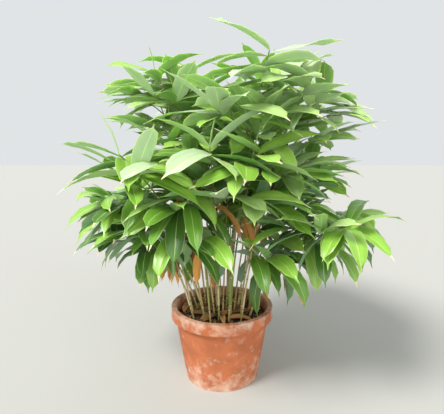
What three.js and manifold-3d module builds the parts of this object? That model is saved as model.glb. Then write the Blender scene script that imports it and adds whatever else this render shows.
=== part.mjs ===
// Broad-leaved bamboo in a round clay pot, at full size in millimetres, +Z up.
// The origin is the middle of the pot's flat underside, which stands on the floor.
// Each cane carries one mass of foliage: its upper stem, the side branches and their fans of leaves.

import * as THREE from "three";
import { mergeVertices } from "three/addons/utils/BufferGeometryUtils.js";
import Module from "manifold-3d";

const wasm = await Module();
wasm.setup();

const DEGREE = Math.PI / 180;

// Pot and soil
const POT_HEIGHT = 420;
const RIM_RADIUS = 290;
const FOOT_RADIUS = 208;
const POT_WALL = 16;
const POT_BASE = 22;
const RIM_BAND = 62;
const RIM_PROUD = 13;
const RIM_ROUND = 5;
const POT_SIDES = 40;
const DRAIN_HOLES = 4;
const DRAIN_RADIUS = 11;
const DRAIN_RING = 115;
const DRAIN_SIDES = 10;
const SOIL_BELOW_RIM = 42;
const SOIL_CROWN = 14;
const SOIL_FLAT_RADIUS = 215;
const CLEARANCE = 0.3;
const GROUND = POT_HEIGHT - SOIL_BELOW_RIM;

// Canes
const LEAFY_CANES = 22;
const BARE_CANES = 12;
const STAND_RADIUS = 196;
const GOLDEN_ANGLE = 137.508 * DEGREE;
const CANE_RADIUS = 5.2;
const CANE_SIDES = 5;
const CANE_TAPER = 0.42;
const FOOT_FLARE = 1.18;
const INTERNODE = 190;
const NODE_SWELL = 1.28;
const NODE_HALF = 4;
const HEART_SHARE = 0.42;

// Each storey's cane length, its lean in degrees at foot and tip where it stands furthest out,
// the share of it that is bare below its foliage, and its number of branches
const STOREYS = [
  { length: 1350, footLean: 6, tipLean: 40, bare: 0.46, branches: 4 },
  { length: 1040, footLean: 10, tipLean: 55, bare: 0.42, branches: 4 },
  { length: 780, footLean: 16, tipLean: 74, bare: 0.4, branches: 3 },
];
const HEART_LENGTH = 1400;

// Branches and leaves
const STEM_SIDES = 3;
const TWIG_TIP = 3.3;
const BRANCH_LENGTH = 215;
const BRANCH_RADIUS = 3.8;
const BRANCH_NECK = 7;
const BRANCH_RISE = 28;
const BRANCH_CURVE = 22;
const LOWEST_BRANCH = 0.06;
const HIGHEST_BRANCH = 0.74;
const TOP_LEAVES = 7;
const FAN_LEAVES = 6;
const LEAF_LENGTH = 318;
const LEAF_WIDTH = 92;
const LEAF_THICKNESS = 3.4;
const LEAF_WIDEST = 0.42;
const LEAF_TROUGH = 0.1;
const LEAF_NECK = 0.02;
const FAN_STEP = 11;
const LEAF_SPACE = 1;
const LEAF_TRIES = 12;

// How a fan holds its leaves, in degrees: the first value where its tip is low and they hang, and the
// second where it is high and they lie level
const HANGING_HEIGHT = 750;
const LEVEL_HEIGHT = 1300;
const YOUNG_RISE = [42, 38];
const OLD_RISE = [-14, 0];
const DROOP = [66, 26];

// The space that a mass keeps to: an upright egg round its stem
const SPACE_RADIUS = 480;
const SPACE_PAST_STEM = 230;
const SPACE_MIDDLE = 0.5;

const COLOURS = {
  clay: { color: 0xb5673f, roughness: 0.85, metalness: 0 },
  soil: { color: 0x3b2a1e, roughness: 0.95, metalness: 0 },
  cane: { color: 0xb3a56b, roughness: 0.55, metalness: 0 },
  bareCane: { color: 0xc4ab7c, roughness: 0.65, metalness: 0 },
  leaves: { color: 0x4f9a2c, roughness: 0.4, metalness: 0 },
};

// A number from 0 to 1 that is always the same for the same whole numbers.
function chance(...keys) {
  const weights = [12.9898, 78.233, 37.719, 93.989];
  const sum = keys.reduce((total, key, i) => total + key * weights[i], 0.5);
  const wave = Math.sin(sum) * 43758.5453;
  return wave - Math.floor(wave);
}

function between(low, high, share) {
  return low + (high - low) * share;
}

// A line that bends evenly in one upright plane. Its slope goes from one angle above level to another.
class Arc extends THREE.Curve {
  constructor(start, heading, from, to, length) {
    super();
    this.start = start;
    this.heading = heading;
    this.from = from;
    this.to = Math.abs(to - from) < 0.01 ? from - 0.01 : to;
    this.length = length;
    this.level = new THREE.Vector3(Math.cos(heading), Math.sin(heading), 0);
    this.side = new THREE.Vector3(-Math.sin(heading), Math.cos(heading), 0);
  }

  slope(t) {
    return between(this.from, this.to, t);
  }

  getPoint(t) {
    const scale = this.length / (this.to - this.from);
    const run = scale * (Math.sin(this.slope(t)) - Math.sin(this.from));
    const rise = scale * (Math.cos(this.from) - Math.cos(this.slope(t)));
    return this.start.clone().addScaledVector(this.level, run).add(new THREE.Vector3(0, 0, rise));
  }

  along(t) {
    const direction = this.level.clone().multiplyScalar(Math.cos(this.slope(t)));
    direction.z = Math.sin(this.slope(t));
    return direction;
  }

  up(t) {
    const normal = this.level.clone().multiplyScalar(-Math.sin(this.slope(t)));
    normal.z = Math.cos(this.slope(t));
    return normal;
  }

  // The rest of the line from t on, as a line of its own.
  rest(t, skip) {
    const first = t + skip / this.length;
    return new Arc(this.getPoint(first), this.heading, this.slope(first), this.to, this.length * (1 - first));
  }
}

// The solid inside a closed geometry, for joining and cutting.
function solidOf(geometry) {
  const bare = geometry.index ? geometry.toNonIndexed() : geometry.clone();
  bare.deleteAttribute("normal");
  bare.deleteAttribute("uv");
  const merged = mergeVertices(bare, 1e-3);
  const corners = merged.index.array;
  const kept = [];
  for (let i = 0; i < corners.length; i += 3) {
    const [a, b, c] = [corners[i], corners[i + 1], corners[i + 2]];
    if (a !== b && b !== c && a !== c) kept.push(a, b, c);
  }
  const mesh = new wasm.Mesh({
    numProp: 3,
    vertProperties: merged.attributes.position.array,
    triVerts: new Uint32Array(kept),
  });
  return new wasm.Manifold(mesh);
}

function geometryOf(solid) {
  const { numProp, numVert, vertProperties, triVerts } = solid.getMesh();
  const places = new Float32Array(numVert * 3);
  for (let i = 0; i < numVert; i++) {
    places.set(vertProperties.subarray(i * numProp, i * numProp + 3), i * 3);
  }
  const geometry = new THREE.BufferGeometry();
  geometry.setAttribute("position", new THREE.BufferAttribute(places, 3));
  geometry.setIndex(new THREE.BufferAttribute(triVerts, 1));
  geometry.computeVertexNormals();
  return geometry;
}

// A turned shape about the upright axis, from [radius, height] points.
function turned(profile, sides) {
  const points = profile.map(([radius, height]) => new THREE.Vector2(radius, height));
  return new THREE.LatheGeometry(points, sides).rotateX(Math.PI / 2);
}

// A limb: a turned rod, with [radius, place from 0 to 1] points, that is carried onto an arc.
function limb(arc, profile, sides) {
  const points = profile.map(([radius, place]) => new THREE.Vector2(radius, place));
  const rod = new THREE.LatheGeometry(points, sides);
  const places = rod.getAttribute("position");
  for (let i = 0; i < places.count; i++) {
    const [x, t, z] = [places.getX(i), places.getY(i), places.getZ(i)];
    const point = arc.getPoint(t).addScaledVector(arc.up(t), x).addScaledVector(arc.side, z);
    places.setXYZ(i, point.x, point.y, point.z);
  }
  return rod;
}

// The radius of the pot's outer wall, without its rim band, at a height.
function potRadius(height) {
  return between(FOOT_RADIUS, RIM_RADIUS - RIM_PROUD, height / POT_HEIGHT);
}

function potSolid() {
  const bandFoot = POT_HEIGHT - RIM_BAND;
  const inside = (height) => potRadius(height) - POT_WALL;
  const pot = solidOf(
    turned(
      [
        [0, 0],
        [FOOT_RADIUS - RIM_ROUND, 0],
        [potRadius(RIM_ROUND), RIM_ROUND],
        [potRadius(bandFoot - RIM_PROUD), bandFoot - RIM_PROUD],
        [RIM_RADIUS - RIM_ROUND / 2, bandFoot],
        [RIM_RADIUS, bandFoot + RIM_ROUND],
        [RIM_RADIUS, POT_HEIGHT - RIM_ROUND],
        [RIM_RADIUS - RIM_ROUND, POT_HEIGHT],
        [inside(POT_HEIGHT) + RIM_ROUND, POT_HEIGHT],
        [inside(POT_HEIGHT), POT_HEIGHT - RIM_ROUND],
        [inside(POT_BASE), POT_BASE],
        [0, POT_BASE],
      ],
      POT_SIDES,
    ),
  );
  const drills = Array.from({ length: DRAIN_HOLES }, (_, i) => {
    const turn = ((i + 0.5) / DRAIN_HOLES) * 2 * Math.PI;
    const drill = new THREE.CylinderGeometry(DRAIN_RADIUS, DRAIN_RADIUS, 3 * POT_BASE, DRAIN_SIDES);
    drill.rotateX(Math.PI / 2).translate(DRAIN_RING * Math.cos(turn), DRAIN_RING * Math.sin(turn), 0);
    return solidOf(drill);
  });
  return pot.subtract(wasm.Manifold.union(drills));
}

// The filling of the pot: flat where the canes stand, and falling a little to the wall.
function soilSolid() {
  const edge = GROUND - SOIL_CROWN;
  const inside = (height) => potRadius(height) - POT_WALL - CLEARANCE * 2;
  return solidOf(
    turned(
      [
        [0, POT_BASE + CLEARANCE],
        [inside(POT_BASE), POT_BASE + CLEARANCE],
        [inside(edge), edge],
        [SOIL_FLAT_RADIUS, GROUND],
        [0, GROUND],
      ],
      POT_SIDES,
    ),
  );
}

// Every foot's place on one even spiral, the leafy and the bare canes taking turns over it.
function caneFeet() {
  const count = LEAFY_CANES + BARE_CANES;
  const feet = Array.from({ length: count }, (_, i) => {
    const share = Math.sqrt((i + 0.5) / count);
    const turn = i * GOLDEN_ANGLE;
    return {
      share,
      turn,
      place: new THREE.Vector3(Math.cos(turn), Math.sin(turn), 0)
        .multiplyScalar(STAND_RADIUS * share)
        .setZ(GROUND + CLEARANCE),
      bare: Math.floor(((i + 1) * BARE_CANES) / count) > Math.floor((i * BARE_CANES) / count),
    };
  });
  return { leafy: feet.filter((foot) => !foot.bare), bare: feet.filter((foot) => foot.bare) };
}

// A leafy cane's whole line, its storey and where its foliage starts.
function leafyCane(foot, i) {
  const heart = foot.share < HEART_SHARE;
  const storey = heart ? STOREYS[0] : STOREYS[i % STOREYS.length];
  const length = (heart ? HEART_LENGTH : storey.length) * between(0.93, 1.07, chance(i, 1));
  const lean = between(0.3, 1, foot.share);
  const footSlope = 90 * DEGREE - storey.footLean * lean * DEGREE;
  const tipSlope = 90 * DEGREE - storey.tipLean * lean * between(0.85, 1.15, chance(i, 2)) * DEGREE;
  const heading = foot.turn + between(-12, 12, chance(i, 3)) * DEGREE;
  return { i, storey, arc: new Arc(foot.place, heading, footSlope, tipSlope, length) };
}

// A bare old cane: straighter, shorter and broken off at its top.
function bareCane(foot, i) {
  const length = between(430, 860, chance(i, 11));
  const lean = between(4, 15, foot.share) * between(0.8, 1.2, chance(i, 12));
  const heading = foot.turn + between(-10, 10, chance(i, 13)) * DEGREE;
  const slope = (90 - lean) * DEGREE;
  return new Arc(foot.place, heading, slope, slope - 3 * DEGREE, length);
}

// [radius, place] points of a cane with its ringed nodes, up to a share of its arc.
function caneProfile(arc, radius, end) {
  const radiusAt = (t) => radius * (1 - CANE_TAPER * t);
  const profile = [
    [0, -0.01],
    [radius * FOOT_FLARE, -0.01],
  ];
  for (let s = INTERNODE * 0.45; s < end * arc.length - 3 * NODE_HALF; s += INTERNODE) {
    const t = s / arc.length;
    profile.push([radiusAt(t) * NODE_SWELL, t]);
    profile.push([radiusAt(t) * 0.96, t + NODE_HALF / arc.length]);
  }
  profile.push([radiusAt(end), end], [0, end]);
  return profile;
}

function caneSolid(arc, radius, end) {
  const whole = solidOf(limb(arc, caneProfile(arc, radius, end), CANE_SIDES));
  return whole.trimByPlane([0, 0, 1], GROUND + CLEARANCE);
}

// A leaf is an octahedron whose corners are carried to its root, tip, two edges and two faces.
function leafShape({ arc, width, roll }, grown = 0, rootShare = 0) {
  const middle = arc.getPoint(LEAF_WIDEST);
  const [flatSide, flatUp] = [arc.side, arc.up(LEAF_WIDEST)];
  const side = flatSide.clone().multiplyScalar(Math.cos(roll)).addScaledVector(flatUp, Math.sin(roll));
  const up = flatUp.clone().multiplyScalar(Math.cos(roll)).addScaledVector(flatSide, -Math.sin(roll));
  const edge = middle.clone().addScaledVector(up, width * LEAF_TROUGH);
  const half = width / 2 + grown;
  const depth = LEAF_THICKNESS / 2 + grown;
  const corners = {
    x: [arc.getPoint(rootShare), arc.getPoint(1).addScaledVector(arc.along(1), grown)],
    y: [edge.clone().addScaledVector(side, -half), edge.clone().addScaledVector(side, half)],
    z: [middle.clone().addScaledVector(up, -depth), middle.clone().addScaledVector(up, depth)],
  };
  const shape = new THREE.OctahedronGeometry(1);
  const places = shape.getAttribute("position");
  for (let i = 0; i < places.count; i++) {
    const [x, y, z] = [places.getX(i), places.getY(i), places.getZ(i)];
    const axis = Math.abs(x) > 0.5 ? "x" : Math.abs(y) > 0.5 ? "y" : "z";
    const corner = corners[axis][x + y + z > 0 ? 1 : 0];
    places.setXYZ(i, corner.x, corner.y, corner.z);
  }
  return shape;
}

// The triangles of a geometry with the box round each and round all.
function outlineOf(geometry) {
  const flat = geometry.index ? geometry.toNonIndexed() : geometry;
  const places = flat.getAttribute("position");
  const triangles = [];
  for (let i = 0; i < places.count; i += 3) {
    const corners = [0, 1, 2].map((k) => new THREE.Vector3().fromBufferAttribute(places, i + k));
    triangles.push({ corners, box: new THREE.Box3().setFromPoints(corners) });
  }
  const box = new THREE.Box3();
  triangles.forEach((triangle) => box.union(triangle.box));
  return { triangles, box };
}

const ray = new THREE.Ray();
const hit = new THREE.Vector3();

function edgePierces(from, to, [a, b, c]) {
  const length = from.distanceTo(to);
  if (length < 1e-9) return false;
  ray.origin.copy(from);
  ray.direction.copy(to).sub(from).divideScalar(length);
  return ray.intersectTriangle(a, b, c, false, hit) !== null && hit.distanceTo(from) <= length;
}

function trianglesCross(one, other) {
  return [0, 1, 2].some(
    (k) =>
      edgePierces(one[k], one[(k + 1) % 3], other) || edgePierces(other[k], other[(k + 1) % 3], one),
  );
}

function outlinesCross(one, other) {
  if (!one.box.intersectsBox(other.box)) return false;
  const near = other.triangles.filter((triangle) => triangle.box.intersectsBox(one.box));
  return one.triangles.some((mine) =>
    near.some(
      (theirs) => mine.box.intersectsBox(theirs.box) && trianglesCross(mine.corners, theirs.corners),
    ),
  );
}

// What has been placed so far. A leaf's blade starts a neck's length away from the limb that it grows on.
const placed = [];

function place(mass, whole, blade = whole) {
  placed.push({ mass, whole, blade });
}

// Whether a new piece keeps clear of all other masses, and its blade of its own mass too.
function isFree(mass, whole, blade) {
  return !placed.some((other) =>
    other.mass === mass ? blade && outlinesCross(blade, other.blade) : outlinesCross(whole, other.whole),
  );
}

// Where the branches of a mass leave its stem, from 0 at its foot to 1 at its tip.
function branchPlaces(cane) {
  const { branches } = cane.storey;
  const step = (HIGHEST_BRANCH - LOWEST_BRANCH) / (branches - 1);
  return Array.from({ length: branches }, (_, k) => LOWEST_BRANCH + k * step);
}

// The branches of one mass, turning from side to side of its stem.
function branchArcs(cane, stem) {
  return branchPlaces(cane).map((t, k) => {
    const sideways = (k % 2 ? 1 : -1) * between(35, 115, chance(cane.i, k, 21));
    const heading = cane.arc.heading + sideways * DEGREE;
    const slope = (BRANCH_RISE + between(-12, 12, chance(cane.i, k, 22))) * DEGREE;
    const length = BRANCH_LENGTH * between(0.7, 1.25, chance(cane.i, k, 23)) * (1 - 0.35 * t);
    return new Arc(stem.getPoint(t), heading, slope, slope - BRANCH_CURVE * DEGREE, length);
  });
}

// Where a fan of leaves begins on its stem or branch, which is straight from there to its tip.
function fanStart(twig, leaves) {
  return 1 - (FAN_STEP * leaves) / twig.length;
}

// One leaf of a fan. The youngest stands up in the middle, and the older ones spread and hang.
function fanLeaf(cane, fan, twig, k, count, attempt) {
  const key = fan * 10 + k;
  const rank = k / (count - 1);
  const fullCircle = fan === 0;
  const swing = fullCircle
    ? k * GOLDEN_ANGLE + chance(cane.i, 31) * 2 * Math.PI
    : (k % 2 ? 1 : -1) * Math.ceil(k / 2) * (230 / count) * DEGREE;
  const loose = 12 + 3 * attempt;
  const jitter = between(-loose, loose, chance(cane.i, key, attempt, 32)) * DEGREE;
  const tip = twig.getPoint(1);
  const held = THREE.MathUtils.clamp((tip.z - HANGING_HEIGHT) / (LEVEL_HEIGHT - HANGING_HEIGHT), 0, 1);
  const rise =
    between(between(...YOUNG_RISE, held), between(...OLD_RISE, held), rank) +
    between(-loose, loose, chance(cane.i, key, attempt, 33));
  const droop =
    between(...DROOP, held) * between(0.8, 1.2, rank) +
    between(-14, 14, chance(cane.i, key, attempt, 34));
  const size = between(0.84, 1.08, chance(cane.i, key, 35)) * (k === 0 ? 0.86 : 1);
  const root = twig.getPoint(fanStart(twig, count)).lerp(tip, 1 - (k + 0.4) / count);
  const arc = new Arc(
    root,
    twig.heading + swing + jitter,
    rise * DEGREE,
    (rise - droop) * DEGREE,
    LEAF_LENGTH * size,
  );
  return {
    arc,
    width: LEAF_WIDTH * size,
    roll: between(-24, 24, chance(cane.i, key, attempt, 36)) * DEGREE,
  };
}

// Whether every corner of an outline lies in the space of its own mass.
function keepsToSpace(cane, outline) {
  const middle = cane.stem.getPoint(SPACE_MIDDLE);
  const height = cane.stem.length / 2 + SPACE_PAST_STEM;
  const size = new THREE.Vector3(SPACE_RADIUS, SPACE_RADIUS, height);
  return outline.triangles.every(({ corners }) =>
    corners.every((corner) => corner.clone().sub(middle).divide(size).length() <= 1),
  );
}

// The leaves of one fan that find room, each after a few tries.
function fanLeaves(cane, fan, twig, count) {
  const leaves = [];
  for (let k = 0; k < count; k++) {
    for (let attempt = 0; attempt < LEAF_TRIES; attempt++) {
      const leaf = fanLeaf(cane, fan, twig, k, count, attempt);
      const whole = outlineOf(leafShape(leaf, LEAF_SPACE));
      const blade = outlineOf(leafShape(leaf, LEAF_SPACE, LEAF_NECK));
      if (keepsToSpace(cane, whole) && isFree(cane.i, whole, blade)) {
        place(cane.i, outlineOf(leafShape(leaf)), outlineOf(leafShape(leaf, 0, LEAF_NECK)));
        leaves.push(leaf);
        break;
      }
    }
  }
  return leaves;
}

// [radius, place] points of a stem or branch, from its first ring, with rings where something grows on it.
function twigProfile(arc, radius, leaves, first, forks = []) {
  const places = [first / arc.length, ...forks, fanStart(arc, leaves), 1].sort((a, b) => a - b);
  const rings = places.map((t) => [between(radius, TWIG_TIP, t), t]);
  return [[0, 0], ...rings, [0, 1]];
}

function largestBody(solid) {
  return solid.decompose().sort((a, b) => b.volume() - a.volume())[0];
}

const group = new THREE.Group();
group.name = "potted_bamboo";

function addNode(name, geometry, colour) {
  const mesh = new THREE.Mesh(geometry, new THREE.MeshStandardMaterial(COLOURS[colour]));
  mesh.name = name;
  group.add(mesh);
}

function numbered(name, i) {
  return `${name}_${String(i + 1).padStart(2, "0")}`;
}

const pot = geometryOf(potSolid());
const soil = geometryOf(soilSolid());
addNode("pot", pot, "clay");
addNode("soil", soil, "soil");
place("pot", outlineOf(pot));
place("pot", outlineOf(soil));

const feet = caneFeet();
const canes = feet.leafy.map(leafyCane);

feet.bare.forEach((foot, i) => {
  const radius = CANE_RADIUS * between(0.72, 1, chance(i, 14));
  const geometry = geometryOf(caneSolid(bareCane(foot, i), radius, 1));
  addNode(numbered("bare_cane", i), geometry, "bareCane");
  place("canes", outlineOf(geometry));
});

canes.forEach((cane) => {
  const radius = CANE_RADIUS * between(0.85, 1.08, chance(cane.i, 4));
  const geometry = geometryOf(caneSolid(cane.arc, radius, cane.storey.bare));
  addNode(numbered("leafy_cane", cane.i), geometry, "cane");
  place("canes", outlineOf(geometry));
  cane.stem = cane.arc.rest(cane.storey.bare, CLEARANCE);
  cane.stemRadius = radius * (1 - CANE_TAPER * cane.storey.bare);
  cane.stemShape = limb(
    cane.stem,
    twigProfile(cane.stem, cane.stemRadius, TOP_LEAVES, 0, branchPlaces(cane)),
    STEM_SIDES,
  );
  place(cane.i, outlineOf(cane.stemShape));
});

canes.forEach((cane) => {
  cane.branches = [];
  branchArcs(cane, cane.stem).forEach((arc) => {
    const shape = limb(arc, twigProfile(arc, BRANCH_RADIUS, FAN_LEAVES, BRANCH_NECK), STEM_SIDES);
    const outline = outlineOf(shape);
    if (isFree(cane.i, outline)) {
      cane.branches.push({ arc, shape });
      place(cane.i, outline);
    }
  });
});

canes.forEach((cane) => {
  cane.leaves = fanLeaves(cane, 0, cane.stem, TOP_LEAVES);
});

canes.forEach((cane) => {
  cane.branches.forEach((branch, k) => {
    cane.leaves.push(...fanLeaves(cane, k + 1, branch.arc, FAN_LEAVES));
  });
});

canes.forEach((cane) => {
  const shapes = [cane.stemShape, ...cane.branches.map((branch) => branch.shape)];
  shapes.push(...cane.leaves.map((leaf) => leafShape(leaf)));
  const mass = largestBody(wasm.Manifold.union(shapes.map(solidOf)));
  addNode(numbered("foliage", cane.i), geometryOf(mass), "leaves");
});

export default group;
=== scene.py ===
"""Broad-leaved bamboo in a clay pot: canes, twigs, leaves, litter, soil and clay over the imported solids.

The growth rule works in millimetres, as the solids do. Blender's own objects and settings are in metres.
"""

import functools
import math
from dataclasses import dataclass, field

import bpy
import numpy as np
from bpy.props import FloatProperty, FloatVectorProperty, IntProperty, PointerProperty
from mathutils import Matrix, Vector
from mathutils.bvhtree import BVHTree


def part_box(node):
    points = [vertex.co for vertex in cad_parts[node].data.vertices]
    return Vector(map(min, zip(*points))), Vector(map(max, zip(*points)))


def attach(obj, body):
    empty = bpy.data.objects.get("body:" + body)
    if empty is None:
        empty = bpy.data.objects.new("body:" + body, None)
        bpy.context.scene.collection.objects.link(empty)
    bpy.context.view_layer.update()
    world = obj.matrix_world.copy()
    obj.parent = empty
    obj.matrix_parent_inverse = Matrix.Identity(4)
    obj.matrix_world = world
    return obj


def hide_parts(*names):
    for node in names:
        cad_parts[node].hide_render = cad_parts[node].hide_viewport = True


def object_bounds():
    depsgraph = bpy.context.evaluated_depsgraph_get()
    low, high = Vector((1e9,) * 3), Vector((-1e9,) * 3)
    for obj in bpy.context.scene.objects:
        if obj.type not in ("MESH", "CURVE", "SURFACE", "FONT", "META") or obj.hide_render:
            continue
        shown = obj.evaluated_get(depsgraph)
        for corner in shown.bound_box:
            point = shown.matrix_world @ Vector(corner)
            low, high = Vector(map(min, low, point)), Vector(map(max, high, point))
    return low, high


bl_info = {
    "name": "Potted bamboo",
    "version": (1, 0, 0),
    "blender": (4, 5, 0),
    "location": "View3D > Sidebar > Bamboo",
    "description": "Dresses the potted bamboo's solids with canes, leaves, soil and clay",
    "category": "Object",
}

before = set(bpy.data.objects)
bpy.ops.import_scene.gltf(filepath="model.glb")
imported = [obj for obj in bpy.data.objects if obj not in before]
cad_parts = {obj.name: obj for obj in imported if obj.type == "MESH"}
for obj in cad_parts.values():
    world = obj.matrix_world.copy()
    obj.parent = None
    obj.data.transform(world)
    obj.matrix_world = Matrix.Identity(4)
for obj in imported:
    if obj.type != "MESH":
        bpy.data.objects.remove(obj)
CAD_BOX = [list(corner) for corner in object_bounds()]
POT_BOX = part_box("pot")
SOIL_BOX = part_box("soil")

MM = 0.001
DEGREE = math.pi / 180
UP = np.array([0.0, 0.0, 1.0])

# The growth rule's values, as the solids have them
GROUND = 378
CLEARANCE = 0.3
LEAFY_CANES = 22
BARE_CANES = 12
STAND_RADIUS = 196
GOLDEN_ANGLE = 137.508 * DEGREE
CANE_RADIUS = 5.2
CANE_TAPER = 0.42
FOOT_FLARE = 1.18
INTERNODE = 190
FIRST_NODE = 0.45
HEART_SHARE = 0.42
HEART_LENGTH = 1400
STOREYS = (
    {"name": "tall", "length": 1350, "foot_lean": 6, "tip_lean": 40, "bare": 0.46, "branches": 4},
    {"name": "middle", "length": 1040, "foot_lean": 10, "tip_lean": 55, "bare": 0.42, "branches": 4},
    {"name": "low", "length": 780, "foot_lean": 16, "tip_lean": 74, "bare": 0.4, "branches": 3},
)
STEM_SIDES = 3
TWIG_TIP = 3.3
BRANCH_LENGTH = 215
BRANCH_RADIUS = 3.8
BRANCH_NECK = 7
BRANCH_RISE = 28
BRANCH_CURVE = 22
LOWEST_BRANCH = 0.06
HIGHEST_BRANCH = 0.74
TOP_LEAVES = 7
FAN_LEAVES = 6
FAN_STEP = 11
LEAF_LENGTH = 318
LEAF_WIDTH = 92
LEAF_THICKNESS = 3.4
LEAF_WIDEST = 0.42
LEAF_TROUGH = 0.1
LEAF_NECK = 0.02
LEAF_SPACE = 1
LEAF_TRIES = 12
LEAF_LOOSER = 3
SPACE_RADIUS = 480
SPACE_PAST_STEM = 230
SPACE_MIDDLE = 0.5

# The spans from which canes, branches and leaves pick their own values: the lengths of bare canes, of
# rolled leaves and of withered ones in mm, turns and slopes in degrees, and the others as shares
LEAFY = {
    "length": (0.93, 1.07),
    "lean": (0.3, 1),
    "tip_lean": (0.85, 1.15),
    "turn": (-12, 12),
    "radius": (0.85, 1.08),
}
BARE = {"length": (430, 860), "lean": (4, 15), "own_lean": (0.8, 1.2), "turn": (-10, 10), "radius": (0.72, 1)}
BARE_BEND = 3
BRANCH = {"turn": (35, 115), "rise": (-12, 12), "length": (0.7, 1.25)}
SHORTER_HIGH_UP = 0.35
FAN_SPREAD = 230
LEAF_LOOSE = 12
LEAF = {"old_droop": (0.8, 1.2), "droop": (-14, 14), "size": (0.84, 1.08), "roll": (-24, 24)}
YOUNGEST_SIZE = 0.86

# How a fan holds its leaves, in degrees: the first value where its tip is low and they hang, and the
# second where it is high and they lie level
HANGING_HEIGHT = 750
LEVEL_HEIGHT = 1300
YOUNG_RISE = (42, 38)
OLD_RISE = (-14, 0)
DROOP = (66, 26)

# A leaf's seed counts the canes, the fans of a cane and the leaves of a fan
FANS_OF_CANE = 20
LEAVES_OF_FAN = 10

# Finer growth, which only the scene has: its twigs, how much smaller its leaves are, how often they
# are tried, and how many degrees looser they lie at each try
FIRST_TWIG_FAN = 5
TWIG_LENGTH = 135
TWIG_LEAVES = 5
TWIG_PLACES = (0.3, 0.6)
TWIG = {"stem_turn": (60, 150), "branch_turn": (40, 75), "length": (0.8, 1.3), "rise": (8, 45)}
FINER_LEAF = 0.9
FINER_TRIES = 40
FINER_LOOSER = 0.4

# How often a solid's leaf is turned so that its full shape crosses no other, how many degrees its
# heading and its slope can change, how much more its roll can, and how narrow it can get
SETTLE_TRIES = 60
SETTLE_TURN = 10
SETTLE_ROLL = 2
SETTLED_WIDTH = 0.8

# Young leaves that are still rolled up: the share of fans that have one, how often it is tried, the
# room it takes in mm and how many degrees it bends
ROLLED_SHARE = 0.4
ROLLED_TRIES = 6
ROLLED_WIDTH = 9
ROLLED_DROOP = 34
ROLLED = {"rise": (50, 86), "turn": (-80, 80), "length": (110, 190)}

# Dead leaves that hang inside the crown: how often each is tried, and its width for its length. Their
# seeds, and those of the fallen leaves, follow on from all others.
WITHERED_TRIES = 20
WITHERED_WIDTH = 0.2
WITHERED = {"place": (0.02, 0.6), "rise": (-75, -20), "hang": (80, 90), "length": (170, 270)}
FIRST_WITHERED_SEED = 50000
FIRST_FALLEN_SEED = 70000


def chance(*keys):
    """A number from 0 to 1, always the same for the same whole numbers. The last one says what it is for."""
    weights = (12.9898, 78.233, 37.719, 93.989)
    wave = math.sin(0.5 + sum(key * weight for key, weight in zip(keys, weights))) * 43758.5453
    return wave - math.floor(wave)


def between(low, high, share):
    return low + (high - low) * share


def pick(span, *keys):
    """A number in a span, always the same for the same whole numbers."""
    return between(*span, chance(*keys))


class Arc:
    """A line that bends evenly in one upright plane, from one slope above level to another."""

    def __init__(self, start, heading, first, last, length):
        self.start = np.asarray(start, float)
        self.heading = heading
        self.first = first
        self.last = first - 0.01 if abs(last - first) < 0.01 else last
        self.length = length
        self.level = np.array([math.cos(heading), math.sin(heading), 0.0])
        self.side = np.array([-math.sin(heading), math.cos(heading), 0.0])

    def slope(self, t):
        return self.first + (self.last - self.first) * t

    def point(self, t):
        t = np.asarray(t, float)[..., None]
        scale = self.length / (self.last - self.first)
        run = scale * (np.sin(self.slope(t)) - math.sin(self.first))
        rise = scale * (math.cos(self.first) - np.cos(self.slope(t)))
        return self.start + run * self.level + rise * UP

    def along(self, t):
        t = np.asarray(t, float)[..., None]
        return np.cos(self.slope(t)) * self.level + np.sin(self.slope(t)) * UP

    def up(self, t):
        t = np.asarray(t, float)[..., None]
        return np.cos(self.slope(t)) * UP - np.sin(self.slope(t)) * self.level

    def rest(self, t, skip):
        """The rest of the line from t on, as a line of its own."""
        first = t + skip / self.length
        return Arc(self.point(first), self.heading, self.slope(first), self.last, self.length * (1 - first))


@dataclass
class Leaf:
    """A leaf: its line, its width in mm, its roll, its seed and how much of its curl and twist it keeps."""

    arc: Arc
    width: float
    roll: float
    seed: int
    bend: float = 1.0

    @property
    def fan(self):
        """The number of its fan."""
        return self.seed // LEAVES_OF_FAN


@dataclass
class Cane:
    """A leafy cane with its foliage: the stem, branches and twigs that carry fans, and their leaves."""

    number: int
    storey: dict
    arc: Arc
    radius: float
    stem: Arc = None
    stem_radius: float = 0.0
    branches: list = field(default_factory=list)
    twigs: list = field(default_factory=list)
    leaves: list = field(default_factory=list)
    rolled: list = field(default_factory=list)
    withered: list = field(default_factory=list)

    def fan_number(self, k):
        """The number of one of its fans: first its own top's, then its branches' and its finer twigs'."""
        return self.number * FANS_OF_CANE + k


MOST_PIECES = 4096


class Crowd:
    """What has been placed so far, with a box round each piece, for finding what a new piece would touch."""

    def __init__(self, solids):
        self.boxes = np.zeros((2, MOST_PIECES, 3))
        self.masses, self.wholes, self.blades = [], [], []
        for name in solids:
            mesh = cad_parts[name].data
            corners = np.array([vertex.co for vertex in mesh.vertices], float) / MM
            self.place("solid", (corners, [tuple(face.vertices) for face in mesh.polygons]))

    def place(self, mass, whole, blade=None):
        i = len(self.masses)
        self.boxes[:, i] = whole[0].min(0), whole[0].max(0)
        self.masses.append(mass)
        self.wholes.append(tree_of(whole))
        self.blades.append(tree_of(blade) if blade else self.wholes[i])

    def touched(self, mass, whole, blade=None):
        """The pieces of other masses that a new piece touches, and those of its own that its blade does."""
        lows, highs = self.boxes[:, : len(self.masses)]
        near = np.all((lows <= whole[0].max(0)) & (highs >= whole[0].min(0)), axis=1)
        whole_tree = tree_of(whole)
        blade_tree = tree_of(blade) if blade else None
        for i in np.flatnonzero(near):
            if self.masses[i] != mass:
                if whole_tree.overlap(self.wholes[i]):
                    yield i
            elif blade_tree and blade_tree.overlap(self.blades[i]):
                yield i

    def is_free(self, mass, whole, blade=None):
        return next(self.touched(mass, whole, blade), None) is None


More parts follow.
